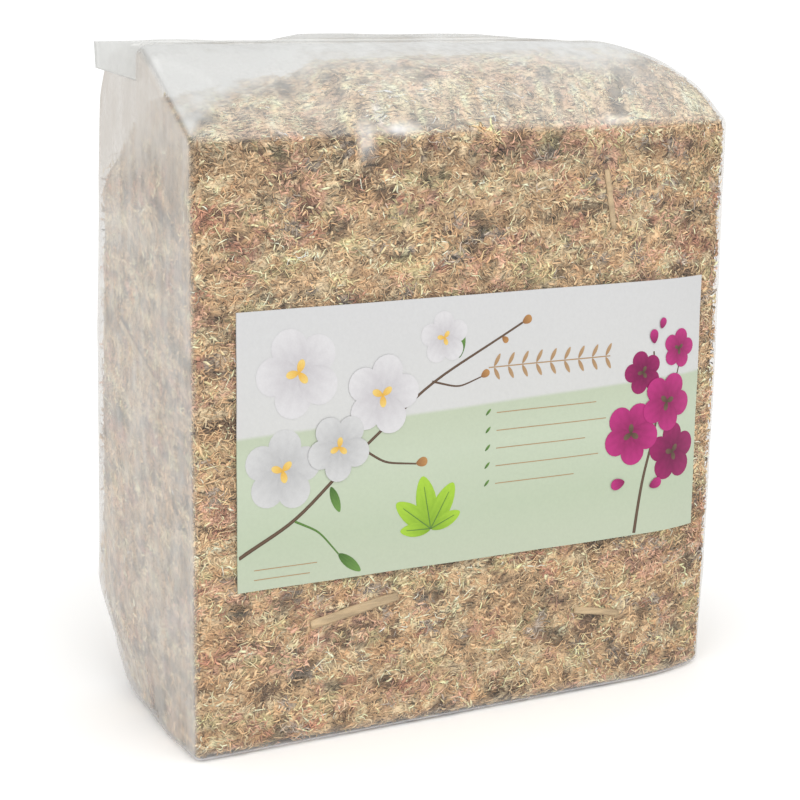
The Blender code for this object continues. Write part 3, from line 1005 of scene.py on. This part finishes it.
def filmShader():
    made, tree, shader = newShader("clearFilm", filmLook["tone"], filmLook["roughness"])
    place = addNode(tree, "TexCoord")
    stretch = addNode(tree, "Mapping", {"Scale": (1.0, 1.0, 0.38)})
    streaks = addNode(tree, "TexNoise", {"Scale": 150.0, "Detail": 4.0})
    haze = addNode(tree, "Attribute", attribute_name="haze")
    ends = {"From Min": 0.3, "From Max": 0.7, "To Min": 0.82, "To Max": 1.14}
    span = addNode(tree, "MapRange", ends)
    alpha = addNode(tree, "Math", operation="MULTIPLY", use_clamp=True)
    linkNodes(tree, place, "Object", stretch, "Vector")
    linkNodes(tree, stretch, "Vector", streaks, "Vector")
    linkNodes(tree, streaks, "Fac", span, "Value")
    linkNodes(tree, haze, "Fac", alpha, 0)
    linkNodes(tree, span, "Result", alpha, 1)
    # only what the camera sees is milky: most of the light still falls through onto the moss
    path = addNode(tree, "LightPath")
    seen = addNode(tree, "MapRange", {"To Min": filmLook["letThrough"]})
    shown = addNode(tree, "Math", operation="MULTIPLY")
    linkNodes(tree, path, "Is Camera Ray", seen, "Value")
    linkNodes(tree, alpha, "Value", shown, 0)
    linkNodes(tree, seen, "Result", shown, 1)
    linkNodes(tree, holed(tree, place, shown), "Value", shader, "Alpha")
    milkAndPaintedLight = addNode(tree, "Attribute", attribute_name="milkAndPaintedLight")
    linkNodes(tree, milkAndPaintedLight, "Color", shader, "Base Color")
    crumple = addNode(tree, "TexNoise", {"Scale": 90.0, "Detail": 3.0})
    raised = addNode(tree, "Bump", {"Strength": 0.25, "Distance": 0.001})
    linkNodes(tree, stretch, "Vector", crumple, "Vector")
    linkNodes(tree, crumple, "Fac", raised, "Height")
    linkNodes(tree, raised, "Normal", shader, "Normal")
    return made


# How much each point belongs to a wall that it is this far from.
def onWall(gap, reach, blend):
    return easedShare((reach - gap) / blend)


def ridged(value):
    return 1.0 - np.abs(value)


# How far each point of the film stands out of its plain form, in metres.
def filmFolds(plain, spots):
    look = filmLook
    x, y, z = plain.T
    front = onWall(y + halfDeep, 0.004, 0.004)
    back = onWall(halfDeep - y, 0.004, 0.004)
    left = onWall(x + halfWide, 0.004, 0.004)
    right = onWall(halfWide - x, 0.004, 0.004)
    top = onWall(bagForm["shoulder"] - z, 0.004, 0.004)
    leaning = spots + 0.5 * spots[:, [1, 0, 2]]
    upright = ridged(latticeNoise(spots, (0.013, 0.013, 0.110), 51)) ** 3
    finer = ridged(latticeNoise(spots, (0.006, 0.006, 0.045), 52)) ** 4
    lying = latticeNoise(spots, (0.030, 0.012, 0.02), 53)
    crossed = ridged(latticeNoise(leaning, (0.024, 0.05, 0.05), 54)) ** 4
    soft = latticeNoise(spots, 0.028, 55)
    out = look["sideFold"] * (left + right) * (upright - 0.35 + 0.5 * finer + 0.4 * soft)
    out += look["roofFold"] * top * (0.5 * lying + 0.9 * crossed - 0.3 + 0.5 * soft)
    out += look["backFold"] * back * (upright - 0.3 + 0.6 * crossed + 0.4 * soft)
    taut = 1.0 - 0.95 * underLabel(spots, -0.004)
    out += look["frontFold"] * front * (soft + 0.8 * (crossed - 0.3)) * taut
    return out


# glare where the film's front top edge is creased: across, up, half width, half height, how much
filmGlare = (
    (-0.0595, 0.2770, 0.0028, 0.0075, 0.65),
    (-0.0415, 0.2812, 0.0085, 0.0028, 0.45),
    (0.072, 0.2820, 0.0080, 0.0025, 0.25),
)


def glareAt(plain, spots):
    total = np.zeros(len(spots))
    for across, height, wide, high, more in filmGlare:
        near = ((spots[:, 0] - across) / wide) ** 2 + ((spots[:, 2] - height) / high) ** 2
        total += more * np.exp(-near) * (plain[:, 1] < -0.045)
    return total


# how milky each part of the film is, from 0 to 1, or how much more
hazeLook = {
    "edges": 0.16,
    "front": 0.045,
    "frontFoot": 0.22,
    "left": 0.55,
    "gable": 0.36,
    "right": 0.34,
    "back": 0.26,
    "backLeft": 0.62,
    "backEdge": 0.50,
    "under": 0.72,
    "roofFront": 0.29,
    "roofMoss": 0.28,
    "roofHollow": 0.38,
    "roofBack": (0.34, 0.56),
    "fade": (0.006, 0.024),
    "patches": 0.14,
    "most": 0.96,
}


# The roof's milkiness: more toward the back, and most where there is no moss under it.
def roofHaze(x, flatY):
    look = hazeLook
    edge = np.interp(x, filmLook["crownAcross"], filmLook["crownDeep"])
    least, more = look["fade"]
    soft = least + more * easedShare((x + 0.135) / 0.06)
    overMoss = share((flatY + halfDeep) / (edge + halfDeep + 0.001))
    hollow = easedShare((flatY - edge + soft / 2) / soft)
    roof = look["roofFront"] + look["roofMoss"] * overMoss + look["roofHollow"] * hollow
    least, more = look["roofBack"]
    behind = least + more * easedShare((0.050 - flatY) / 0.050)
    return np.where(flatY > 0.0, np.minimum(roof, behind), roof)


# How milky the film is at each point, from 0 to 1.
def filmHaze(plain, spots):
    look = hazeLook
    x, _, z = spots.T
    flatX, flatY, flatZ = plain.T
    back = onWall(halfDeep - flatY, 0.0030, 0.0025)
    beside = easedShare((0.004 - halfWide - flatX) / 0.003)
    backLeft = beside * easedShare((flatY - 0.030) / 0.020)
    backEdge = onWall(halfWide + flatX, 0.040, 0.036) * back
    left = look["left"] + look["gable"] * easedShare((z - 0.250) / 0.034)
    front = look["front"] + look["frontFoot"] * easedShare((0.008 - z) / 0.007)
    haze = np.maximum(look["edges"], look["backLeft"] * backLeft)
    for wanted, amount in (
        (look["back"], back),
        (look["right"], onWall(halfWide - flatX, 0.0016, 0.0014)),
        (left, onWall(halfWide + flatX, 0.0016, 0.0014)),
        (look["under"], onWall(flatZ, 0.0040, 0.0030)),
        (roofHaze(x, flatY), onWall(bagForm["shoulder"] - flatZ, 0.0026, 0.0022)),
        (front, onWall(halfDeep + flatY, 0.0016, 0.0012)),
        (look["backEdge"], backEdge),
    ):
        haze = haze * (1 - amount) + wanted * amount
    patches = latticeNoise(spots, (0.02, 0.02, 0.05), 61)
    haze = haze * (1.0 + look["patches"] * patches)
    return (haze + glareAt(plain, spots)).clip(0.0, look["most"])


# The tint of the milkiness: warmer down the sides, with painted shade on the roof and along the
# gable's crease, and a painted highlight where the glare is.
def filmTintAndPaintedLight(plain, spots):
    x, y, z = plain.T
    shoulder = bagForm["shoulder"]
    beside = onWall(x + halfWide, 0.003, 0.002)
    tint = np.tile(filmLook["tone"], (len(x), 1))

    def blend(name, amount):
        return tint + (np.array(filmLook[name]) - tint) * amount[:, None]

    tint = blend("gableTone", beside * easedShare((spots[:, 2] - 0.235) / 0.030))
    # painted shade: the roof's film is tinted darker, as it gets more light from above
    tint = blend("roofShadedTone", onWall(shoulder - z, 0.0030, 0.0025))
    onRoof = z > shoulder - 0.0030
    # the roof's tint is darker toward the left and lighter toward the right
    tint[onRoof] *= (0.955 + 0.120 * easedShare((x[onRoof] + 0.100) / 0.050))[:, None]
    tint = blend("footTone", onWall(z, 0.0040, 0.0030))
    tint = blend("glareTone", share(1.8 * glareAt(plain, spots)))
    # painted shade along the gable's crease
    arc = bagForm["round"] * (1.0 - math.sqrt(0.5))
    away = (x + halfWide - arc) ** 2 + (z - shoulder + arc) ** 2
    creaseShade = np.exp(-(away / 0.0012**2)) * (y < 0.035)
    return tint * (1.0 - filmLook["creaseShade"] * creaseShade)[:, None]


filmMaterial = filmShader()


def bagFilm():
    deselectAll()
    bpy.ops.mesh.primitive_cube_add(size=1.0)
    film = bpy.context.object
    bpy.ops.object.mode_set(mode="EDIT")
    bpy.ops.mesh.select_all(action="SELECT")
    bpy.ops.mesh.subdivide(number_cuts=filmLook["cuts"])
    bpy.ops.object.mode_set(mode="OBJECT")
    film.name = "bagFilm"
    film.data.name = "bagFilm"
    cube = pointsOf(film.data)
    crowd = filmLook["crowding"]
    cube = cube * (1 - crowd) + 0.5 * np.sin(math.pi * cube) * crowd  # closer rows near the edges
    size = np.array([2 * halfWide, 2 * halfDeep, bagForm["shoulder"]])
    plain = cube * size + np.array([0.0, 0.0, bagForm["shoulder"] / 2])
    inner = np.clip(plain, *plainBox(bagForm["round"]))
    plain = inner + unit(plain - inner) * bagForm["round"]
    spots = formed(plain)
    placePoints(film.data, spots)
    film.data.update()
    normals = np.empty(len(spots) * 3, np.float32)
    film.data.vertices.foreach_get("normal", normals)
    folded = spots + normals.reshape(-1, 3) * filmFolds(plain, spots)[:, None]
    folded[:, 2] = np.maximum(folded[:, 2], 0.0)
    placePoints(film.data, folded)
    smooth(film.data)
    film.data.materials.append(filmMaterial)
    paintHaze(film, filmHaze(plain, spots))
    paint(film, "milkAndPaintedLight", filmTintAndPaintedLight(plain, spots))
    film.data.update()
    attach(film, "root")
    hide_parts("bag_film")
    return film


# The melted rims of the two vents.
def ventRims():
    deselectAll()
    across, height, radius = filmLook["vents"]
    rims = []
    for side in (-1, 1):
        spot = formed(np.array([[side * across, halfDeep, height]]))[0]
        bpy.ops.mesh.primitive_torus_add(
            major_segments=28,
            minor_segments=6,
            major_radius=radius + 0.0003,
            minor_radius=0.00022,
            location=spot + (0.0, 0.0004, 0.0),
            rotation=(math.pi / 2, 0.0, 0.0),
        )
        rims.append(bpy.context.object)
    for rim in rims:
        rim.select_set(True)
    bpy.ops.object.join()
    bpy.ops.object.transform_apply(location=True, rotation=True, scale=True)
    rim = bpy.context.object
    rim.name = "ventRims"
    smooth(rim.data)
    rim.data.materials.append(filmMaterial)
    count = len(rim.data.vertices)
    paintHaze(rim, np.full(count, 0.75))
    paint(rim, "milkAndPaintedLight", np.tile(filmLook["tone"], (count, 1)))
    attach(rim, "root")
    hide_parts("bag_film")


bagFilm()
ventRims()
print("film")

# the sealed strip along the ridge

sealLook = {
    "left": -0.164,
    "right": 0.135,
    # the height of its top edge along it
    "edgeAcross": (
        *(-0.1640, -0.0805, -0.0730, -0.0655, -0.0395, -0.0025),
        *(0.0305, 0.0645, 0.1000, 0.1150, 0.1350),
    ),
    "edgeUp": (
        *(0.3190, 0.3188, 0.3200, 0.3210, 0.3213, 0.3210),
        *(0.3203, 0.3183, 0.3153, 0.3118, 0.3040),
    ),
    "earLow": 0.3075,
    "earRoot": 0.3005,
    "thick": 0.0006,
    "columns": 150,
    "rows": 20,
    "sink": 0.0035,
    "wave": 0.0010,
    "crimps": (0.0007, 0.0022),
    "crimp": 0.00025,
    "haze": 0.62,
    "earHaze": 0.22,
}


def topSeal():
    deselectAll()
    look = sealLook
    bpy.ops.mesh.primitive_grid_add(
        x_subdivisions=look["columns"], y_subdivisions=look["rows"], size=1.0
    )
    seal = bpy.context.object
    seal.name = "topSeal"
    u, v, _ = pointsOf(seal.data).T
    u, v = u + 0.5, v + 0.5
    x = look["left"] + (look["right"] - look["left"]) * u
    ridge = bagForm["shoulder"] + roofRise(x, np.zeros(len(x)))
    body = ridge - look["sink"]
    # the ear hangs out past the left wall, and the strip's lower edge rises from it into the roof
    root = -halfWide + 0.0015
    beyond = share((root - x) / (root - look["left"]))
    ear = look["earRoot"] + (look["earLow"] - look["earRoot"]) * beyond
    joint = look["earRoot"] + 0.006
    rising = joint + (body - joint) * easedShare((x - root) / 0.0085)
    low = np.where(x < root, ear, np.where(x < -halfWide + 0.010, rising, body))
    edge = np.interp(x, look["edgeAcross"], look["edgeUp"]) + 0.0003 * np.sin(x * 85.0)
    top = np.maximum(edge, ridge + 0.0006)
    z = low + (top - low) * v
    wave = look["wave"] * np.sin(x * 70.0) * v + 0.0007 * np.sin(x * 190.0 + 1.0) * v
    lines = sum(np.exp(-(((z - ridge - line) / 0.0004) ** 2)) for line in look["crimps"])
    lines = lines * (x > -halfWide - 0.004)
    spots = np.stack([x, wave + look["crimp"] * lines, z], axis=1)
    placePoints(seal.data, spots)
    seal.data.materials.append(filmMaterial)
    blotch = latticeNoise(spots, (0.02, 0.02, 0.02), 71)
    haze = look["haze"] + look["earHaze"] * (x < -halfWide) + 0.10 * blotch + 0.25 * lines
    paintHaze(seal, haze)
    paint(seal, "milkAndPaintedLight", np.array(filmLook["roofShadedTone"]) * (1.0 + 0.28 * lines)[:, None])
    wall = seal.modifiers.new("wall", "SOLIDIFY")
    wall.thickness = look["thick"]
    wall.offset = 0.0
    bpy.ops.object.modifier_apply(modifier="wall")
    smooth(seal.data)
    seal.data.update()
    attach(seal, "root")
    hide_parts("bag_film")


topSeal()
print("sealed strip")

# the label

labelLook = {
    "columns": 96,
    "rows": 48,
    "thick": 0.0007,
    "gap": 0.0004,
    "ripple": 0.00022,
    "paper": (0.540, 0.540, 0.530),
    # where each colour of the paper is, from the bottom to the top
    "bands": (
        (0.0, (0.43, 0.48, 0.365)),
        (0.16, (0.412, 0.475, 0.350)),
        (0.40, (0.450, 0.508, 0.390)),
        (0.548, (0.425, 0.478, 0.358)),
        (0.560, (0.540, 0.540, 0.530)),
        (1.0, (0.53, 0.53, 0.535)),
    ),
    "bandSlope": -0.07,
}


# A place on the label's face: metres from its left and bottom edges, and out from its paper.
def labelSpot(across, height, lift):
    x = labelPlace["left"] + across
    z = labelPlace["bottom"] + height
    wave = np.sin(across * 95.0 + 1.2 * np.sin(height * 40.0))
    wave = wave + 0.6 * np.sin(height * 120.0 + across * 30.0)
    out = labelLook["gap"] + labelLook["ripple"] * (1.0 - wave) + lift
    return np.stack([x, frontSetback(x) - halfDeep - out, z], axis=-1)


def labelShader():
    made, tree, shader = newShader("labelPaper", labelLook["paper"], 0.42)
    place = addNode(tree, "UVMap", uv_map="UVMap")
    parts = addNode(tree, "SeparateXYZ")
    slope = addNode(tree, "Math", {1: labelLook["bandSlope"]}, operation="MULTIPLY_ADD")
    linkNodes(tree, place, "UV", parts, "Vector")
    linkNodes(tree, parts, "X", slope, 0)
    linkNodes(tree, parts, "Y", slope, 2)
    ramp = addNode(tree, "ValToRGB")
    stops = ramp.color_ramp.elements
    stops.remove(stops[1])
    for number, (position, colour) in enumerate(labelLook["bands"]):
        stop = stops.new(position) if number else stops[0]
        stop.position = position
        stop.color = (*colour, 1.0)
    linkNodes(tree, slope, "Value", ramp, "Fac")
    coords = addNode(tree, "TexCoord")
    grain = addNode(tree, "TexNoise", {"Scale": 700.0})
    tone = addNode(tree, "MapRange", {"To Min": 0.95, "To Max": 1.04})
    mixed = addNode(tree, "VectorMath", operation="SCALE")
    raised = addNode(tree, "Bump", {"Strength": 0.06, "Distance": 0.0003})
    linkNodes(tree, coords, "Object", grain, "Vector")
    linkNodes(tree, grain, "Fac", tone, "Value")
    linkNodes(tree, ramp, "Color", mixed, 0)
    linkNodes(tree, tone, "Result", mixed, "Scale")
    linkNodes(tree, mixed, "Vector", shader, "Base Color")
    linkNodes(tree, grain, "Fac", raised, "Height")
    linkNodes(tree, raised, "Normal", shader, "Normal")
    return made


def bagLabel():
    deselectAll()
    look = labelLook
    bpy.ops.mesh.primitive_grid_add(
        x_subdivisions=look["columns"], y_subdivisions=look["rows"], size=1.0
    )
    label = bpy.context.object
    label.name = "bagLabel"
    u, v, _ = pointsOf(label.data).T
    across, height = (u + 0.5) * labelPlace["width"], (v + 0.5) * labelPlace["height"]
    placePoints(label.data, labelSpot(across, height, 0.0))
    label.data.update()
    label.data.materials.append(labelShader())
    wall = label.modifiers.new("wall", "SOLIDIFY")
    wall.thickness = look["thick"]
    wall.offset = -1.0
    bpy.ops.object.modifier_apply(modifier="wall")
    smooth(label.data)
    bpy.ops.object.shade_smooth_by_angle(angle=math.radians(40))
    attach(label, "root")
    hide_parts("bag_label")


bagLabel()
print("label")

# the print on the label: plain blossoms, leaves, a twig and fine rules

printLook = {"lift": 0.00005, "step": 0.000012, "rim": 0.0006}

inks = {
    "petal": ((0.44, 0.42, 0.44), (0.60, 0.59, 0.60)),
    "petalBack": ((0.38, 0.38, 0.385), (0.54, 0.54, 0.54)),
    "magenta": ((0.17, 0.010, 0.062), (0.42, 0.028, 0.175)),
    "magentaDeep": ((0.10, 0.006, 0.04), (0.27, 0.015, 0.105)),
    "yellow": ((0.62, 0.33, 0.04), (0.72, 0.52, 0.16)),
    "lime": ((0.16, 0.30, 0.02), (0.33, 0.53, 0.045)),
    "leaf": ((0.04, 0.10, 0.02), (0.13, 0.25, 0.06)),
    "twig": ((0.06, 0.035, 0.022), (0.14, 0.09, 0.06)),
    "bud": ((0.22, 0.10, 0.04), (0.42, 0.22, 0.08)),
    "tan": ((0.33, 0.20, 0.10), (0.40, 0.26, 0.14)),
}


# A flat petal from 0 to 1 along X and 1 wide, with two rings inside its edge.
def petalTemplate():
    deselectAll()
    bpy.ops.mesh.primitive_circle_add(
        vertices=22, radius=0.5, fill_type="NGON", location=(0.5, 0.0, 0.0)
    )
    petal = bpy.context.object
    bpy.ops.object.transform_apply(location=True, rotation=True, scale=True)
    startEdit(petal)
    bpy.ops.mesh.inset(thickness=0.14)
    bpy.ops.mesh.inset(thickness=0.16)
    bpy.ops.mesh.poke()
    bpy.ops.mesh.select_all(action="SELECT")
    bpy.ops.mesh.quads_convert_to_tris()
    bpy.ops.object.mode_set(mode="OBJECT")
    return takeTemplate(petal)


petalSpots, petalFaces = petalTemplate()
printSpots, printFaces, printTints = [], [], []


# Adds one flat shape, given in millimetres on the label. fade is how far each point takes the
# ink's second colour, and a higher order lies over a lower one.
def printShape(spots, faces, ink, fade, order):
    start = sum(len(part) for part in printSpots)
    lift = printLook["lift"] + printLook["step"] * order
    rim = printLook["rim"]
    across = np.clip(spots[:, 0] / 1000.0, rim, labelPlace["width"] - rim)
    height = np.clip(spots[:, 1] / 1000.0, rim, labelPlace["height"] - rim)
    printSpots.append(labelSpot(across, height, lift))
    printFaces.append(faces + start)
    first, second = np.array(inks[ink])
    printTints.append(first + (second - first) * share(fade)[:, None])


# A petal, leaf or bud whose base is at middle. point narrows its tip.
def petal(middle, angle, length, width, ink, order, point=0.0):
    x, y = petalSpots[:, 0], petalSpots[:, 1]
    broad = 0.62 + 0.75 * x * (1.0 - 0.35 * x) - point * x**2
    veins = 0.10 * np.sin(y * 22.0)
    along = x * length
    side = y * width * broad
    cosine, sine = math.cos(math.radians(angle)), math.sin(math.radians(angle))
    across = middle[0] + along * cosine - side * sine
    height = middle[1] + along * sine + side * cosine
    fade = 0.15 + 0.95 * x + veins
    printShape(np.stack([across, height], axis=1), petalFaces, ink, fade, order)


# Five petals round a heart of three small ones.
def blossom(middle, size, turn, ink, order, heart):
    for number in range(5):
        petal(middle, turn + 72 * number, size, size * 0.92, ink, order + number, 0.10)
    for number in range(3):
        angle = turn + 30 + 120 * number
        petal(middle, angle, size * 0.30, size * 0.20, heart, order + 6 + number, 0.2)


# A line of changing width through points in millimetres.
def ribbon(path, widths, ink, order):
    path = np.array(path, float)
    steps = 8 * (len(path) - 1) + 1
    corners = range(len(path))
    place = np.linspace(0.0, len(path) - 1.0, steps)
    line = np.stack([np.interp(place, corners, path[:, axis]) for axis in (0, 1)], axis=1)
    if len(path) > 2:
        for _ in range(6):
            line[1:-1] = (line[:-2] + 2 * line[1:-1] + line[2:]) / 4
    ahead = unit(np.gradient(line, axis=0))
    half = np.interp(place, (0, len(path) - 1), widths) / 2
    side = np.stack([-ahead[:, 1], ahead[:, 0]], axis=1) * half[:, None]
    spots = np.concatenate([line - side, line, line + side])
    strip = []
    for row in (0, 1):
        for step in range(steps - 1):
            a, b = row * steps + step, row * steps + step + 1
            c, d = b + steps, a + steps
            strip += [(a, b, c), (a, c, d)]
    fade = np.concatenate([np.full(steps, 0.1), np.full(steps, 0.9), np.full(steps, 0.3)])
    printShape(spots, np.array(strip), ink, fade, order)


# lines of the print: points, widths at both ends, ink, order
printLines = (
    (((0.6, 16), (28, 30), (62, 60), (98, 88), (146, 112)), (1.9, 1.0), "twig", 0),
    (((62, 60), (74, 52), (90, 50)), (1.2, 0.8), "twig", 0),
    (((98, 88), (112, 84), (124, 88)), (1.0, 0.6), "twig", 0),
    (((28, 30), (40, 24), (50, 12)), (1.1, 0.7), "leaf", 0),
    (((214, 1.0), (218, 30), (226, 58), (222, 92)), (1.8, 0.9), "twig", 0),
    (((226, 58), (236, 74), (240, 90)), (1.1, 0.6), "twig", 0),
    (((128, 92), (196, 92)), (0.55, 0.55), "tan", 0),
)

# blossoms: middle, size, turn, ink, order, ink of the heart
printBlossoms = (
    ((22, 54), 19.0, 12, "petalBack", 3, "yellow"),
    ((30, 98), 21.0, 40, "petal", 3, "yellow"),
    ((72, 84), 19.0, 5, "petal", 16, "yellow"),
    ((50, 62), 16.0, 52, "petalBack", 28, "yellow"),
    ((104, 108), 12.5, 22, "petal", 3, "yellow"),
    ((236, 40), 15.0, 20, "magentaDeep", 1, "twig"),
    ((210, 52), 16.0, 60, "magenta", 12, "twig"),
    ((231, 66), 15.0, -10, "magenta", 24, "twig"),
    ((216, 82), 11.0, 35, "magentaDeep", 1, "twig"),
    ((238, 92), 10.0, 5, "magenta", 12, "twig"),
)

# single buds and leaves: base, angle, length, share of it in width, ink, order, how pointed
printLeaves = (
    ((90, 50), 10, 6.0, 0.80, "bud", 1, 0.0),
    ((124, 88), 30, 5.0, 0.80, "bud", 1, 0.0),
    ((146, 112), 25, 5.5, 0.80, "bud", 1, 0.0),
    ((135, 106), -40, 4.0, 0.80, "bud", 1, 0.0),
    ((50, 12), -40, 15, 0.42, "leaf", 2, 0.55),
    ((46, 44), -70, 13, 0.42, "leaf", 2, 0.55),
    ((112, 98), 80, 12, 0.42, "leaf", 2, 0.55),
    ((222, 96), 95, 7.0, 0.75, "magenta", 34, 0.0),
    ((226, 103), 70, 5.5, 0.75, "magenta", 34, 0.0),
    ((207, 28), 190, 8.0, 0.75, "magenta", 34, 0.0),
    ((222, 24), 20, 7.5, 0.75, "magenta", 34, 0.0),
)


def drawPrint():
    for path, widths, ink, order in printLines:
        ribbon(path, widths, ink, order)
    for row in printBlossoms:
        blossom(*row)
    for middle, angle, size, slim, ink, order, point in printLeaves:
        petal(middle, angle, size, size * slim, ink, order, point)
    # the lime spray
    for number, (angle, size) in enumerate(((100, 26), (60, 24), (142, 23), (22, 17), (178, 16))):
        petal((98, 18), angle, size, size * 0.52, "lime", 1 + number, 0.50)
        tip = 0.8 * size * np.array([math.cos(math.radians(angle)), math.sin(math.radians(angle))])
        ribbon([(98, 18), tip + (98, 18)], (0.5, 0.3), "leaf", 8)
    # the garland
    for number in range(9):
        place = 131.0 + 7.8 * number
        petal((place, 92.4), 62, 6.6, 2.5, "tan", 1, 0.5)
        petal((place, 91.6), -62, 6.6, 2.5, "tan", 1, 0.5)
    # the rules
    for number, width in enumerate((56, 62, 50, 58, 44)):
        height = 70.0 - 8.6 * number
        petal((127.0, height - 0.8), 48, 4.0, 1.6, "leaf", 1, 0.5)
        ribbon([(133.0, height), (133.0 + width, height)], (0.42, 0.42), "tan", 0)
    for number, width in enumerate((31.2, 27.6)):
        height = 9.5 - 4.5 * number
        ribbon([(8.0, height), (8.0 + width, height)], (0.4, 0.4), "tan", 0)


drawPrint()
inkInputs = {"Scale": 900.0, "Stretch": 1.0, "Darken": 0.05}
printShader = tintedShader("labelInk", (0.5, 0.5, 0.5), 0.42, grainGroup, 0.05, inkInputs)
printPoints = np.concatenate(printSpots)
labelPrint = meshPiece(
    "labelPrint", printPoints, np.concatenate(printFaces), printShader
)
paint(labelPrint, "tint", np.concatenate(printTints))
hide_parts("bag_label")
print("print on the label", len(labelPrint.data.polygons), "triangles")

# loose stalks of straw

stalkLook = {
    "steps": 14,
    "rim": 9,
    "flatness": 0.45,
    "bow": 0.0002,
    "sink": 0.0011,
    "ragged": 0.11,
    "margin": 0.0003,
    "colours": ((0.43, 0.305, 0.170), (0.62, 0.46, 0.275)),
}


# A rod along X from 0 to 1, drawn out ring by ring.
def strawTemplate():
    look = stalkLook
    deselectAll()
    bpy.ops.mesh.primitive_circle_add(
        vertices=look["rim"], radius=1.0, fill_type="NGON", rotation=(0.0, math.pi / 2, 0.0)
    )
    rod = bpy.context.object
    bpy.ops.object.transform_apply(location=True, rotation=True, scale=True)
    startEdit(rod)
    step = {"value": (1.0 / look["steps"], 0.0, 0.0)}
    for _ in range(look["steps"]):
        bpy.ops.mesh.extrude_region_move(TRANSFORM_OT_translate=step)
    bpy.ops.mesh.select_all(action="SELECT")
    bpy.ops.mesh.normals_make_consistent(inside=False)
    bpy.ops.mesh.quads_convert_to_tris(ngon_method="BEAUTY")
    bpy.ops.object.mode_set(mode="OBJECT")
    return takeTemplate(rod)


strawSpots, strawFaces = strawTemplate()
strawInputs = {"Scale": 500.0, "Stretch": 0.12, "Darken": 0.35}
strawShader = tintedShader(
    "dryStraw", stalkLook["colours"][0], 0.6, grainGroup, 0.5, strawInputs
)


def strawStalk(number, node, face, start, end, half):
    look = stalkLook
    x, y, z = strawSpots.T
    along = start[0] + (end[0] - start[0]) * x
    height = start[1] + (end[1] - start[1]) * x + look["bow"] * np.sin(math.pi * x)
    lean = unit(np.array([[end[0] - start[0], end[1] - start[1]]]))[0]
    lumps = latticeNoise(strawSpots * (6.0, 1.2, 1.2), 1.0, 90 + number)
    ragged = 1.0 + look["ragged"] * lumps
    wide = y * half * ragged * (1.0 - 0.15 * np.abs(2 * x - 1) ** 8)
    thick = z * half * look["flatness"] * ragged
    along = along - wide * lean[1]
    height = height + wide * lean[0]
    if face == "left":
        plain = [np.full(len(x), -halfWide + look["sink"]) - thick, along, height]
    elif face == "back":
        plain = [along, np.full(len(x), halfDeep - look["sink"]) + thick, height]
    else:
        plain = [along, np.full(len(x), -halfDeep + look["sink"]) - thick, height]
    spots = insideFilm(formed(np.stack(plain, axis=1)), look["margin"])
    stalk = meshPiece(f"strawStalk{number}", spots, strawFaces, strawShader)
    startEdit(stalk)
    bpy.ops.mesh.normals_make_consistent(inside=False)
    bpy.ops.object.mode_set(mode="OBJECT")
    dark, light = np.array(look["colours"])
    streak = latticeNoise(strawSpots * (3.0, 1.0, 1.0), (1.0, 0.3, 0.3), 80 + number)
    colours = dark + (light - dark) * (0.5 + 0.5 * streak)[:, None]
    paint(stalk, "tint", colours * (1.14 - 0.26 * x)[:, None])
    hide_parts(node)


for stalkNumber, stalkRow in enumerate(stalks, 1):
    strawStalk(stalkNumber, *stalkRow)
print("stalks")
